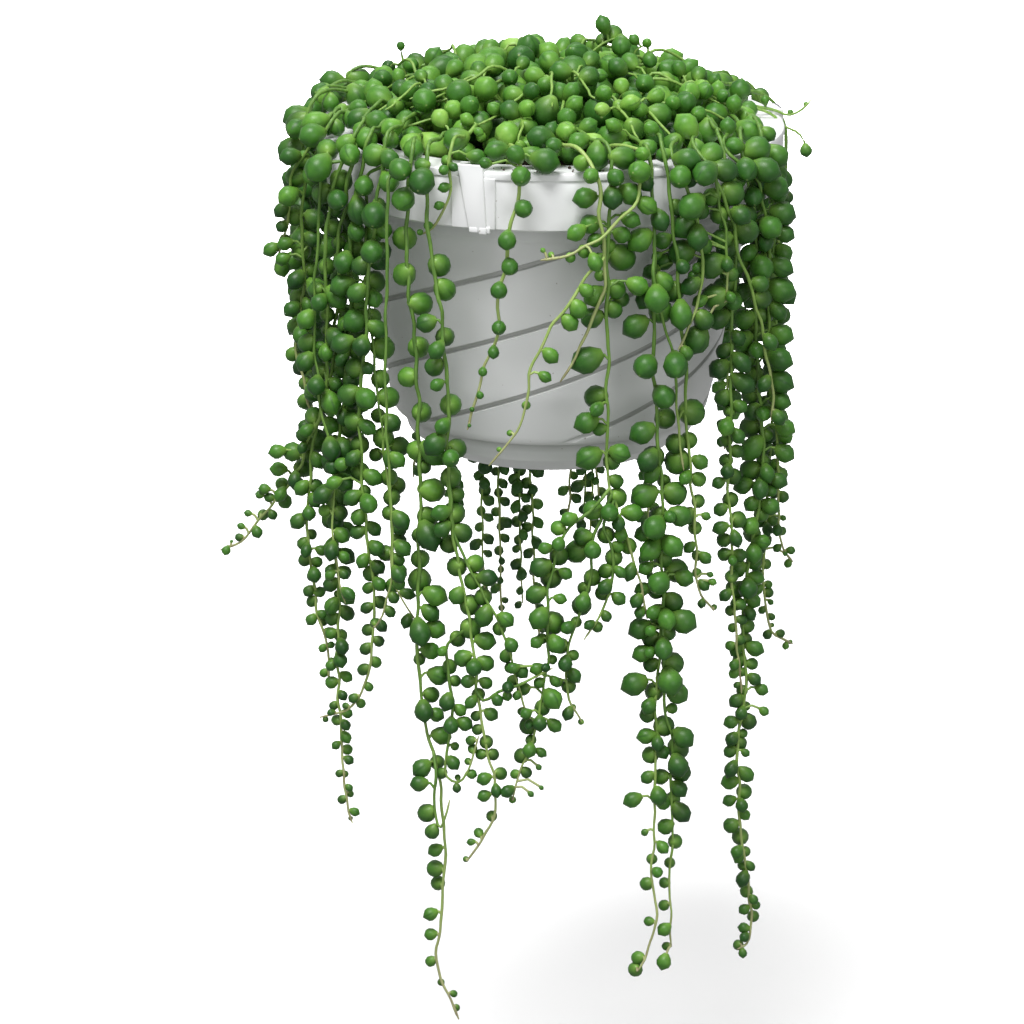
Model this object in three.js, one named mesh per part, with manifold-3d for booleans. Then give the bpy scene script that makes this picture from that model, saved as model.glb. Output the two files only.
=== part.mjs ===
// A string of pearls growing in a white plastic hanging pot.
// Millimetres, +Z up. The origin is the centre of the rim's top plane, where the pot hangs from its
// hanger, and the front of the pot faces -Y. Azimuths are in degrees round the pot, from the front
// towards +X.
import * as THREE from 'three';
import { mergeVertices } from 'three/addons/utils/BufferGeometryUtils.js';
import Module from 'manifold-3d';

const wasm = await Module();
wasm.setup();

// ---------------------------------------------------------------- driving dimensions
const RIM_RADIUS = 90; // outside of the rim band
const RIM_DROP = 22; // height of the band that hangs from the flange
const RIM_WALL = 1.8;
const BODY_RADIUS = 77.6; // body just under the flange
const BODY_WALL = 2;
const POT_HEIGHT = 127;
const BASE_RADIUS = 46;
const GROOVES = 6; // spiral grooves round the body
const GROOVE_RISE = 156; // climb of a groove in one full turn
const GROOVE_FRONT = -35.5; // height of one groove at the very front
const GROOVE_ENDS = [-33, -113]; // heights between which the grooves run
const GROOVE_DEPTH = 0.9;
const GROOVE_ROWS = 13; // rows of facets along the grooves
const PANEL_COLUMNS = [-1.3, 0, 1.3, 15, 30, 45]; // azimuths from one groove to the next, groove in 2nd place
const POT_COLUMNS = GROOVES * PANEL_COLUMNS.length;
const SOIL_SEGMENTS = 24;
const FLAT_SHARE = Math.cos(Math.PI / SOIL_SEGMENTS); // where a facet lies nearest, as a share of its radius
const LUG_AZIMUTHS = [-18.4, 101.6, 221.6]; // hanger lugs on the rim
const DRAIN_HOLES = 4;
const DRAIN_RADIUS = 3.5;
const DRAIN_CIRCLE = 34;
const SOIL_TOP = -7;
const GAP = 0.3; // between pieces that touch
const STEM_RADIUS = 0.9;
const ROOT_DEPTH = 6; // how deep a stem stands in the soil
const ROOT_RINGS = [55, 65, 60]; // distance of the roots from the axis, taken in turn
const CROWN_SHARES = [0.62, 0.2, 0.4]; // how high in the crown each ring's stems run
const CROWN_LEVELS = [10, 7.2, 8.2]; // height of each ring's stems where they cross the rim
const RIM_CROSSING = 91; // distance from the axis of a stem that crosses the rim
const CROWN_TOP = 29; // top of the mound of leaves
const CROWN_FALL = 0.0026; // the mound falls by this times its radius squared
const CROWN_FLOOR = 5; // clear height of the lowest stems over the soil
const STEM_STEP = 27; // length of a straight piece of a stem
const CORE_RADIUS = 49; // packed stems in the middle of the crown
const CORE_DEPTH = 9; // how far the crown's leaves stand out of them
const CORE_LEAVES = 50;
const CROWN_DRAWS = 99; // the crown's own row of repeatable draws
const LEAF_SIDES = 5;
const LEAF_GAP = 0.35; // least gap between leaves of different stems
const LEAF_STRIDE = 58; // distance along a hanging stem from one leaf to the next

const PLASTIC = { color: 0xe9eaec, roughness: 0.38, metalness: 0 };
const EARTH = { color: 0x3a2a1d, roughness: 0.95, metalness: 0 };
const LEAF = { color: 0x3f8a35, roughness: 0.42, metalness: 0 };

// Outside of the body from the flange down to the base: radius, height.
const BODY_OUTLINE = [
  [BODY_RADIUS, -4], [77.4, -28], [76.6, -30], [66.6, -92], [62.6, -107], [56, -120.5],
  [53.6, -121], [BASE_RADIUS, -POT_HEIGHT],
];
const WALL_ROWS = 5; // rows of the outline, from the top, that the inside of the wall follows

// Every trailing stem, round the pot from the back over the left side, the front and the right side.
// hang: its route outside the pot from the rim to its tip, as x, y, z. leaf: leaf diameter at the rim
// and at the tip. forks: side branches, each as the route from the parent stem to its own tip.
const STRANDS = [
  { leaf: [8.6, 3.6], hang: [[-19, 96, 0], [-20, 97, -70], [-20, 97, -140], [-21, 96, -200],
    [-19, 95, -240]] },
  { leaf: [9, 4], hang: [[-41, 89, 0], [-42, 90, -60], [-43, 89, -125], [-40, 88, -188]] },
  { leaf: [9.2, 4], hang: [[-52, 84, 0], [-54, 84, -50], [-56, 83, -102], [-54, 82, -148],
    [-57, 80, -170]] },
  { leaf: [9.4, 4.4], hang: [[-82, 47, 0], [-84, 47, -55], [-83, 47, -112], [-81, 49, -150]] },
  { leaf: [9.4, 4], hang: [[-90, 28, 1], [-92, 29, -40], [-93, 29, -86], [-90, 30, -120],
    [-89, 32, -142]] },
  { leaf: [9.8, 5], hang: [[-93, 11, 1], [-96, 11, -32], [-97, 11, -70], [-94, 13, -108]] },
  { leaf: [9.6, 4], hang: [[-94, -6, 1], [-97, -6, -34], [-96, -6, -72], [-94, -8, -108],
    [-94, -10, -134]] },
  { leaf: [9.8, 6], hang: [[-94, -36, -3], [-99, -34, -15], [-100, -30, -30], [-103, -26, -42],
    [-106, -22, -51]] },
  { leaf: [9.8, 6.5], hang: [[-90, -41, -2], [-94, -34, -17], [-95, -31, -44], [-96, -30, -67],
    [-98, -30, -81], [-96, -32, -93], [-93, -34, -106]] },
  { leaf: [9.6, 3], hang: [[-80, -63, 3], [-83, -59, -17], [-85, -57, -56], [-86, -54, -88],
    [-89, -52, -105], [-94, -44, -117], [-98, -38, -129], [-103, -33, -138], [-110, -28, -148],
    [-115, -24, -155], [-121, -21, -163], [-130, -18, -169]] },
  { leaf: [9.4, 3], hang: [[-77, -61, -1], [-79, -58, -25], [-81, -54, -57], [-85, -50, -89],
    [-91, -47, -114], [-93, -46, -131], [-94, -46, -151], [-93, -46, -169], [-91, -46, -186],
    [-88, -46, -197], [-87, -46, -215]] },
  { leaf: [9.4, 3], hang: [[-71, -64, -3], [-75, -61, -28], [-76, -58, -64], [-79, -55, -96],
    [-82, -53, -117], [-84, -52, -137], [-83, -52, -161], [-82, -52, -178], [-83, -52, -194],
    [-83, -52, -219], [-82, -52, -239], [-81, -54, -255], [-78, -56, -270]] },
  { leaf: [9.2, 3], hang: [[-65, -73, -2], [-67, -71, -33], [-70, -69, -65], [-73, -67, -100],
    [-71, -68, -132], [-70, -69, -150], [-68, -69, -168], [-69, -69, -184], [-71, -66, -203],
    [-75, -62, -215], [-80, -58, -222], [-90, -56, -225]] },
  { leaf: [9.2, 3.4], hang: [[-55, -80, -2], [-54, -81, -35], [-51, -82, -65], [-50, -83, -96],
    [-50, -83, -127], [-50, -83, -151], [-51, -83, -175], [-50, -84, -203], [-47, -85, -221],
    [-44, -86, -235], [-42, -87, -251], [-41, -87, -268], [-42, -87, -289], [-44, -87, -306],
    [-44, -87, -321], [-39, -89, -331], [-36, -90, -338]] },
  { leaf: [8.8, 3], hang: [[-49, -85, -2], [-45, -87, -29], [-41, -89, -55], [-39, -90, -86],
    [-39, -90, -105], [-38, -91, -132], [-34, -92, -156], [-30, -93, -179], [-28, -94, -203],
    [-25, -95, -221], [-22, -95, -235], [-22, -95, -250], [-26, -94, -260],
    [-32, -93, -270]], forks: [[[-39, -90, -107], [-38, -91, -124], [-37, -91, -136],
    [-32, -93, -147], [-28, -94, -158], [-22, -95, -168], [-17, -96, -178], [-14, -97, -191],
    [-11, -97, -204], [-8, -98, -211]]] },
  { leaf: [3.8, 2.6], thin: true, hang: [[-38, -85, 3], [-38, -85, -7], [-39, -84, -13],
    [-42, -82, -19], [-48, -80, -25]] },
  { leaf: [8, 2.8], thin: true, hang: [[-12, -94, 2], [-14, -94, -12], [-16, -94, -24],
    [-17, -93, -33], [-20, -93, -43], [-20, -93, -56], [-23, -92, -66], [-26, -91, -74],
    [-28, -91, -83], [-30, -90, -90], [-32, -90, -97]] },
  { leaf: [9.0, 3], thin: true, hang: [[11, -98, 11], [16, -98, 0], [17, -98, -15], [19, -97, -31],
    [18, -98, -42], [13, -98, -55], [8, -99, -66], [3, -99, -76]], forks: [[[19, -100, -30],
    [13, -101, -34], [10, -101, -38], [4, -102, -49], [-1, -102, -55], [-5, -102, -63],
    [-9, -102, -73], [-10, -101, -86], [-13, -101, -93], [-18, -100, -101], [-24, -99, -108]]] },
  { leaf: [9.4, 4], hang: [[21, -94, 0], [20, -94, -27], [20, -94, -58], [20, -94, -85],
    [21, -93, -116], [25, -93, -130], [29, -91, -143], [33, -90, -158],
    [36, -89, -172]], forks: [[[20, -96, -120], [14, -97, -127], [6, -98, -133], [2, -98, -141],
    [-1, -98, -154], [-2, -98, -169], [-2, -98, -185], [-4, -98, -202], [-7, -98, -218],
    [-12, -97, -232], [-15, -97, -243]], [[21, -94, -123], [15, -95, -141], [13, -95, -158],
    [8, -96, -174], [5, -96, -186], [7, -96, -203], [12, -95, -213]]] },
  { leaf: [7.4, 2.6], thin: true, hang: [[35, -95, -4], [29, -97, -10], [23, -98, -16],
    [16, -99, -22], [9, -100, -26], [3, -101, -28], [-5, -101, -29]] },
  { leaf: [9.8, 4], hang: [[36, -89, -6], [37, -89, -25], [37, -89, -44], [37, -88, -67],
    [38, -88, -86], [40, -87, -110], [41, -87, -134], [42, -87, -165], [40, -87, -198],
    [40, -87, -222], [40, -87, -247], [39, -87, -276], [41, -88, -297], [38, -88, -310],
    [34, -90, -318]], forks: [[[42, -88, -161], [42, -88, -181], [43, -88, -206], [46, -87, -224],
    [46, -86, -247], [47, -86, -268], [46, -86, -289], [47, -86, -309]]] },
  { leaf: [9.4, 3], hang: [[42, -87, -5], [45, -86, -29], [47, -85, -53], [49, -84, -72],
    [50, -83, -96], [52, -82, -116], [54, -81, -140], [55, -79, -158], [57, -78, -167],
    [62, -75, -174]] },
  { leaf: [9.8, 6], hang: [[47, -88, 0], [52, -86, -16], [55, -85, -34], [53, -85, -49],
    [50, -87, -59], [46, -89, -67]] },
  { leaf: [9.8, 6], hang: [[58, -85, 4], [62, -82, -9], [66, -79, -22], [69, -76, -35],
    [74, -72, -48], [78, -68, -62], [80, -65, -74], [83, -63, -88], [83, -62, -102]] },
  { leaf: [9, 3.4], hang: [[65, -71, -2], [68, -69, -19], [68, -68, -38], [67, -68, -65],
    [67, -69, -92], [67, -68, -120], [68, -68, -140], [69, -67, -156], [70, -65, -175],
    [72, -63, -194], [74, -62, -212]] },
  { leaf: [9.8, 3.4], hang: [[69, -72, 2], [75, -66, -8], [79, -62, -22], [81, -60, -38],
    [81, -58, -56], [82, -56, -78], [84, -54, -96], [86, -52, -116], [87, -50, -135], [88, -47, -151],
    [90, -42, -161], [94, -36, -168]] },
  { leaf: [9.2, 4], hang: [[73, -62, -4], [75, -61, -21], [76, -59, -44], [77, -57, -68],
    [79, -56, -96], [81, -56, -120], [79, -57, -141], [76, -58, -159], [74, -59, -181],
    [75, -60, -198], [76, -60, -213], [74, -60, -227], [73, -61, -239], [74, -60, -258],
    [76, -59, -280], [79, -57, -298], [80, -56, -311], [79, -58, -319], [74, -61, -322]] },
  { leaf: [9.2, 3], hang: [[80, -49, -4], [83, -44, -21], [84, -40, -37], [86, -38, -77],
    [85, -39, -109], [84, -40, -140], [83, -42, -155], [83, -41, -175], [85, -38, -192],
    [90, -34, -200], [96, -28, -205]] },
  { leaf: [9.4, 6], hang: [[89, 27, 1], [93, 28, -12], [91, 28, -50], [90, 28, -90]] },
  { leaf: [9.2, 4.4], hang: [[81, 42, 0], [86, 44, -44], [84, 44, -90], [83, 46, -132]] },
  { leaf: [9, 4], hang: [[72, 57, 0], [76, 60, -50], [74, 59, -104], [73, 60, -152]] },
  { leaf: [9.2, 5.5], hang: [[60, 71, 0], [62, 74, -38], [60, 73, -78]] },
  { leaf: [8.8, 3.6], hang: [[46, 82, 0], [47, 84, -60], [45, 84, -118], [42, 85, -176],
    [44, 83, -215]] },
  { leaf: [8.6, 3.8], hang: [[25, 91, 0], [23, 94, -66], [21, 94, -130], [21, 94, -192]] },
  { leaf: [8.8, 4], hang: [[10, 96, 0], [11, 97, -60], [11, 97, -130], [9, 96, -196]] },
  { leaf: [8.6, 3.6], hang: [[-4, 96, 0], [-5, 97, -70], [-8, 97, -150], [-6, 96, -205],
    [-4, 95, -250]] },
];

// A young shoot that stands up out of the crown, from the packed stems to its tip.
const SHOOT = [[6, 6, 14], [10, 10, 25], [20, 17, 34], [31, 16, 37], [38, 14, 34]];

// ---------------------------------------------------------------- small helpers
const radians = (degrees) => (degrees * Math.PI) / 180;

/** A point at an azimuth, a distance from the axis and a height. */
function polar(azimuth, radius, height) {
  const turn = radians(azimuth);
  return new THREE.Vector3(radius * Math.sin(turn), -radius * Math.cos(turn), height);
}

const azimuthOf = (x, y) => (Math.atan2(x, -y) * 180) / Math.PI;

/** A repeatable draw between 0 and 1 for one choice about one leaf of one stem. */
function draw(stem, leaf, choice) {
  let n = Math.imul(stem + 1, 73856093) ^ Math.imul(leaf + 1, 19349663) ^ Math.imul(choice + 1, 83492791);
  n = Math.imul(n ^ (n >>> 13), 1274126177);
  return ((n ^ (n >>> 16)) >>> 0) / 4294967296;
}

/** A three.js geometry as a solid. */
function solid(geometry) {
  geometry.deleteAttribute('normal');
  geometry.deleteAttribute('uv');
  const merged = mergeVertices(geometry, 1e-4);
  const mesh = new wasm.Mesh({
    numProp: 3,
    vertProperties: new Float32Array(merged.attributes.position.array),
    triVerts: new Uint32Array(merged.index.array),
  });
  return new wasm.Manifold(mesh);
}

/** The largest single body of a solid, without loose scraps or sealed hollows. */
function wholeBody(shape) {
  return shape.decompose().sort((a, b) => b.volume() - a.volume())[0];
}

/** A named mesh of a solid in one of the materials. */
function pieceMesh(name, shape, look) {
  const data = wholeBody(shape).getMesh();
  const geometry = new THREE.BufferGeometry();
  geometry.setAttribute('position', new THREE.BufferAttribute(new Float32Array(data.vertProperties), 3));
  geometry.setIndex(new THREE.BufferAttribute(new Uint32Array(data.triVerts), 1));
  geometry.computeVertexNormals();
  const mesh = new THREE.Mesh(geometry, new THREE.MeshStandardMaterial(look));
  mesh.name = name;
  return mesh;
}

/** A solid of revolution about Z from an outline of radius, height that starts and ends on the axis. */
function turned(outline, segments) {
  const points = outline.map(([radius, height]) => new THREE.Vector2(radius, height));
  return solid(new THREE.LatheGeometry(points, segments).rotateX(Math.PI / 2));
}

/** A rod along a curve, with flat ends. */
function rod(curve, radius, sides, steps) {
  const section = new THREE.Shape();
  for (let side = 0; side < sides; side += 1) {
    const turn = (2 * Math.PI * side) / sides;
    const corner = [radius * Math.cos(turn), radius * Math.sin(turn)];
    if (side === 0) section.moveTo(...corner);
    else section.lineTo(...corner);
  }
  return solid(new THREE.ExtrudeGeometry(section, { steps, bevelEnabled: false, extrudePath: curve }));
}

// ---------------------------------------------------------------- pot
/** Outside radius of the body at a height between two rows of its outline. */
function bodyRadius(height) {
  const below = BODY_OUTLINE.findIndex(([, z]) => z <= height);
  const [outerRadius, outerHeight] = BODY_OUTLINE[below - 1];
  const [radius, z] = BODY_OUTLINE[below];
  return radius + ((outerRadius - radius) * (height - z)) / (outerHeight - z);
}

/** The body's outside, with the rows that the grooves need, as radius, height. */
function bodyRows() {
  const [top, bottom] = GROOVE_ENDS;
  const rows = [];
  for (let row = 0; row <= GROOVE_ROWS; row += 1) {
    const height = top + ((bottom - top) * row) / GROOVE_ROWS;
    rows.push([bodyRadius(height), height]);
  }
  const above = BODY_OUTLINE.filter(([, height]) => height > top);
  const below = BODY_OUTLINE.filter(([, height]) => height < bottom);
  return [...above, ...rows, ...below];
}

/** Turns the even columns of a lathe into panels between spiral grooves, and sinks the grooves. */
function cutGrooves(lathe) {
  const [top, bottom] = GROOVE_ENDS;
  const position = lathe.attributes.position;
  for (let i = 0; i < position.count; i += 1) {
    const place = new THREE.Vector3().fromBufferAttribute(position, i);
    const radius = Math.hypot(place.x, place.y);
    const turn = ((azimuthOf(place.x, place.y) + 360) % 360) / 360;
    const column = Math.round(POT_COLUMNS * turn) % POT_COLUMNS;
    const panel = Math.floor(column / PANEL_COLUMNS.length);
    const within = column % PANEL_COLUMNS.length;
    const outside = place.z > top || radius > bodyRadius(place.z) - 0.5;
    const climb = (outside ? Math.min(top, Math.max(bottom, place.z)) : top) - GROOVE_FRONT;
    const azimuth = (360 * climb) / GROOVE_RISE + (360 * panel) / GROOVES + PANEL_COLUMNS[within];
    const grooved = outside && within === 1 && place.z < top && place.z > bottom;
    const depth = grooved ? GROOVE_DEPTH : 0;
    if (radius > 0.01) position.setXYZ(i, ...polar(azimuth, radius - depth, place.z));
  }
  return lathe;
}

/** The whole moulding before lugs and drain holes. */
function potShell() {
  const flange = RIM_WALL + 0.4;
  const inside = BODY_OUTLINE.slice(2, WALL_ROWS).map(([radius, z]) => [radius - BODY_WALL, z]).reverse();
  const outline = [
    [0, -POT_HEIGHT + BODY_WALL], [BASE_RADIUS, -POT_HEIGHT + BODY_WALL], ...inside,
    [BODY_RADIUS - BODY_WALL, 0], [RIM_RADIUS - 1.4, 0], [RIM_RADIUS, -2],
    [RIM_RADIUS - 0.6, -RIM_DROP], [RIM_RADIUS - 0.6 - RIM_WALL, -RIM_DROP],
    [RIM_RADIUS - RIM_WALL, -flange], ...bodyRows(), [0, -POT_HEIGHT],
  ];
  const points = outline.reverse().map(([radius, height]) => new THREE.Vector2(radius, height));
  return solid(cutGrooves(new THREE.LatheGeometry(points, POT_COLUMNS).rotateX(Math.PI / 2)));
}

/** A flat-sided block from an outline of x, z, between two distances from the axis, at the front. */
function frontBlock(outline, near, far) {
  const shape = new THREE.Shape(outline.map(([x, z]) => new THREE.Vector2(x, z)));
  const block = new THREE.ExtrudeGeometry(shape, { depth: far - near, bevelEnabled: false });
  return solid(block.rotateX(Math.PI / 2).translate(0, -near, 0));
}

/** A hanger lug: a backing plate on the rim band and a tapering strap that folds over the rim. */
function hangerLug(azimuth) {
  const backing = [[-10, -21], [11, -21], [11, -1.5], [-10, -1.5]];
  const plate = frontBlock(backing, RIM_RADIUS - 1.6, RIM_RADIUS + 0.7);
  const strap = frontBlock([[-2.6, -24], [5.4, -24], [6.2, 4], [-6.6, 4]], RIM_RADIUS, RIM_RADIUS + 2.4);
  const fold = frontBlock([[-6.6, -1], [6.2, -1], [6.2, 4], [-6.6, 4]], RIM_RADIUS - 9, RIM_RADIUS + 1);
  return plate.add(strap).add(fold).rotate([0, 0, azimuth]);
}

function drainHole(index) {
  const hole = new THREE.CylinderGeometry(DRAIN_RADIUS, DRAIN_RADIUS, 3 * BODY_WALL, 8);
  const place = polar(45 + (360 * index) / DRAIN_HOLES, DRAIN_CIRCLE, -POT_HEIGHT);
  return solid(hole.rotateX(Math.PI / 2).translate(place.x, place.y, place.z));
}

function pot() {
  let shape = potShell();
  LUG_AZIMUTHS.forEach((azimuth) => {
    shape = shape.add(hangerLug(azimuth));
  });
  for (let index = 0; index < DRAIN_HOLES; index += 1) shape = shape.subtract(drainHole(index));
  return pieceMesh('pot', shape, PLASTIC);
}

// ---------------------------------------------------------------- stems
/** Height of a stem in the crown at a distance from the axis, for one of the three levels. */
function crownHeight(radius, level) {
  const bottom = SOIL_TOP + CROWN_FLOOR + 0.31 * Math.max(0, radius - ROOT_RINGS[0]);
  const top = CROWN_TOP - CROWN_FALL * radius * radius;
  return bottom + CROWN_SHARES[level] * (top - bottom);
}

/** The route of a trailing stem from its root in the soil, through the crown and over the rim. */
function strandCurve(index) {
  const { hang } = STRANDS[index];
  const level = index % 3;
  const crossing = azimuthOf(hang[0][0], hang[0][1]);
  const root = -180 + (360 * (index + 0.5)) / STRANDS.length;
  const rootRadius = ROOT_RINGS[level];
  const points = [polar(root, rootRadius, SOIL_TOP + CROWN_FLOOR)];
  [0.3, 0.65].forEach((share) => {
    const radius = rootRadius + share * (RIM_CROSSING - rootRadius);
    points.push(polar(root + share * nearTurn(crossing - root), radius, crownHeight(radius, level)));
  });
  points.push(polar(crossing, RIM_CROSSING, CROWN_LEVELS[level]));
  hang.slice(1).forEach((point) => points.push(new THREE.Vector3(...point)));
  return new THREE.CatmullRomCurve3(points);
}

const nearTurn = (degrees) => degrees - 360 * Math.round(degrees / 360);

function curveThrough(points) {
  return new THREE.CatmullRomCurve3(points.map((point) => new THREE.Vector3(...point)));
}

/** A stem of a node, with the joints between its straight pieces. */
function stemAlong(name, curve, leaf, extra) {
  const length = curve.getLength();
  const steps = Math.max(5, Math.round(length / STEM_STEP));
  return { name, curve, leaf, length, steps, joints: curve.getSpacedPoints(steps), ...extra };
}

/** Every stem of the plant: its node's name, its curve, and its leaf diameters from start to tip. */
function allStems() {
  const stems = [stemAlong('crown', curveThrough(SHOOT), [9, 6], { thin: true })];
  STRANDS.forEach((strand, index) => {
    const name = `strand_${String(index + 1).padStart(2, '0')}`;
    stems.push(stemAlong(name, strandCurve(index), strand.leaf, { thin: strand.thin, rooted: true }));
    (strand.forks ?? []).forEach((fork) => {
      const leaf = [strand.leaf[0] * 0.8, strand.leaf[1]];
      stems.push(stemAlong(name, curveThrough(fork), leaf, { thin: strand.thin }));
    });
  });
  return stems;
}

// ---------------------------------------------------------------- leaves
/** True if a ball stays clear of the pot and the soil. */
function clearOfPot(centre, radius) {
  const out = Math.hypot(centre.x, centre.y);
  const reach = radius + GAP;
  if (centre.z - reach > 4.2) return true;
  const mouth = BODY_RADIUS - BODY_WALL;
  if (out < mouth) return centre.z - reach > SOIL_TOP && out + reach < mouth;
  if (centre.z - reach > 0) return nearestLug(centre) > 9 + radius;
  const wall = centre.z + reach > -25 ? RIM_RADIUS : BODY_RADIUS;
  const lug = nearestLug(centre) < 12 + radius ? 2.6 : 0;
  return out - reach > wall + lug;
}

/** Distance round the rim from a point to the nearest hanger lug. */
function nearestLug(point) {
  const azimuth = azimuthOf(point.x, point.y);
  return Math.min(...LUG_AZIMUTHS.map((lug) => Math.abs(radians(nearTurn(azimuth - lug))) * RIM_RADIUS));
}

/** The point and the direction of a stem at a distance from its start. */
function along(stem, distance) {
  const place = (stem.steps * distance) / stem.length;
  const joint = Math.min(stem.steps - 1, Math.floor(place));
  const [near, far] = [stem.joints[joint], stem.joints[joint + 1]];
  return { foot: near.clone().lerp(far, place - joint), onward: far.clone().sub(near).normalize() };
}

/** Where a leaf would sit: its foot on the stem, the way it points, and its diameter. */
function leafSeat(stem, stemIndex, slot, distance, attempt) {
  const { foot, onward } = along(stem, distance);
  const fade = (distance / stem.length) ** 1.6;
  const size = stem.leaf[0] + (stem.leaf[1] - stem.leaf[0]) * fade;
  const diameter = size * (0.88 + 0.26 * draw(stemIndex, slot, 0));
  const side = new THREE.Vector3(0, 0, 1).cross(onward);
  if (side.length() < 0.2) side.set(1, 0, 0);
  const across = side.normalize().clone().cross(onward).normalize();
  const turn = Math.PI * slot + (Math.PI * 2 * attempt) / 5 + 1.2 * draw(stemIndex, slot, 1);
  const pointing = side.multiplyScalar(Math.cos(turn)).addScaledVector(across, Math.sin(turn));
  pointing.addScaledVector(onward, 0.35).normalize();
  return { foot, pointing, diameter, centre: foot.clone().addScaledVector(pointing, diameter * 0.56) };
}

/** True if a leaf keeps clear of every other stem, its leaves, the pot and the soil. */
function isClear(seat, stem, taken) {
  const radius = seat.diameter / 2;
  if (!clearOfPot(seat.centre, radius * 1.05)) return false;
  if (stem.rooted && Math.hypot(seat.centre.x, seat.centre.y) < CORE_RADIUS + radius + 2 * GAP) return false;
  return taken.every((ball) => {
    const own = ball.name === stem.name;
    if (own && ball.stem) return true;
    const least = own ? 0.9 * (radius + ball.radius) : 1.08 * radius + ball.radius + LEAF_GAP;
    return ball.centre.distanceTo(seat.centre) > least;
  });
}

/** The leaves of one stem, at about equal strides, each turned or moved along until it is clear. */
function leavesOf(stem, stemIndex, taken) {
  const leaves = [];
  const stride = stem.thin ? 0.55 * LEAF_STRIDE : LEAF_STRIDE;
  const inCrown = (distance) => along(stem, distance).foot.z > -2;
  let distance = 6;
  let slot = 0;
  while (distance < stem.length) {
    const seat = firstClearSeat(stem, stemIndex, slot, distance, taken);
    if (seat) {
      leaves.push(seat);
      taken.push({ name: stem.name, centre: seat.centre, radius: seat.diameter / 2 });
    }
    distance += seat ? stride * (inCrown(distance) ? 0.5 : 1) : 3;
    slot += 1;
  }
  const tip = firstClearSeat(stem, stemIndex, slot, stem.length - 2, taken);
  if (tip) leaves.push(tip);
  return leaves;
}

function firstClearSeat(stem, stemIndex, slot, distance, taken) {
  for (let attempt = 0; attempt < 5; attempt += 1) {
    const seat = leafSeat(stem, stemIndex, slot, distance, attempt);
    if (isClear(seat, stem, taken)) return seat;
  }
  return null;
}

/** A round leaf with a small point at its free end; its foot is sunk in the stem. */
function leafSolid({ foot, pointing, diameter }) {
  const radius = diameter / 2;
  const profile = [[0, 0.04], [0.92, 0.8], [0.9, 1.5], [0, 2.16]];
  const points = profile.map(([out, up]) => new THREE.Vector2(out * radius, up * radius));
  const geometry = new THREE.LatheGeometry(points, LEAF_SIDES);
  const turn = new THREE.Quaternion().setFromUnitVectors(new THREE.Vector3(0, 1, 0), pointing);
  geometry.applyQuaternion(turn).translate(foot.x, foot.y, foot.z);
  return solid(geometry);
}

/** The upright root end of a stem, which stands in the soil. */
function root(top) {
  const height = top.z + STEM_RADIUS - (SOIL_TOP - ROOT_DEPTH);
  const peg = new THREE.CylinderGeometry(STEM_RADIUS, STEM_RADIUS, height, 3);
  return solid(peg.rotateX(Math.PI / 2).translate(top.x, top.y, SOIL_TOP - ROOT_DEPTH + height / 2));
}

/** Height of the top of the packed stems in the middle of the crown. */
const coreHeight = (radius) => CROWN_TOP - CROWN_FALL * radius * radius - CORE_DEPTH;

/** The packed stems in the middle of the crown, as a low dome that the crown's leaves stand out of. */
function core() {
  const rings = [0.95, 0.75, 0.45].map((share) => [share * CORE_RADIUS, coreHeight(share * CORE_RADIUS)]);
  const base = SOIL_TOP + GAP;
  const side = [[0, base], [CORE_RADIUS - 3, base], [CORE_RADIUS, base + 6]];
  return turned([...side, ...rings, [0, coreHeight(0)]], 14);
}

/** The crown's leaves, laid out evenly over the core in a spiral, each pointing about straight out. */
function coreLeaves(taken) {
  const goldenTurn = 137.508;
  const leaves = [];
  for (let index = 0; index < CORE_LEAVES; index += 1) {
    const radius = CORE_RADIUS * Math.sqrt((index + 0.3) / CORE_LEAVES);
    const foot = polar(goldenTurn * index, radius, coreHeight(radius) - 2);
    const lean = (0.6 + 0.9 * draw(CROWN_DRAWS, index, 1)) * (radius / CORE_RADIUS) ** 2;
    const pointing = polar(goldenTurn * index, lean, 1).normalize();
    const diameter = 9.6 + 3 * draw(CROWN_DRAWS, index, 0);
    const centre = foot.clone().addScaledVector(pointing, diameter * 0.56);
    leaves.push({ foot, pointing, diameter, centre });
    taken.push({ name: 'crown', centre, radius: diameter / 2 });
  }
  return leaves;
}

/** The plant's nodes: each stem fused with its leaves and its side branches. */
function plant() {
  const stems = allStems();
  const taken = [];
  stems.forEach((stem) => {
    const count = Math.ceil(stem.length / 2);
    for (let step = 0; step <= count; step += 1) {
      const centre = along(stem, (stem.length * step) / count).foot;
      taken.push({ name: stem.name, centre, radius: STEM_RADIUS, stem: true });
    }
  });
  const shapes = new Map([['crown', [core(), ...coreLeaves(taken).map(leafSolid)]]]);
  stems.forEach((stem, stemIndex) => {
    const parts = [rod(stem.curve, STEM_RADIUS, 3, stem.steps)];
    if (stem.rooted) parts.push(root(stem.curve.getPoint(0)));
    leavesOf(stem, stemIndex, taken).forEach((leaf) => parts.push(leafSolid(leaf)));
    shapes.set(stem.name, [...(shapes.get(stem.name) ?? []), ...parts]);
  });
  return [...shapes].map(([name, parts]) => pieceMesh(name, wasm.Manifold.union(parts), LEAF));
}

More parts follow.
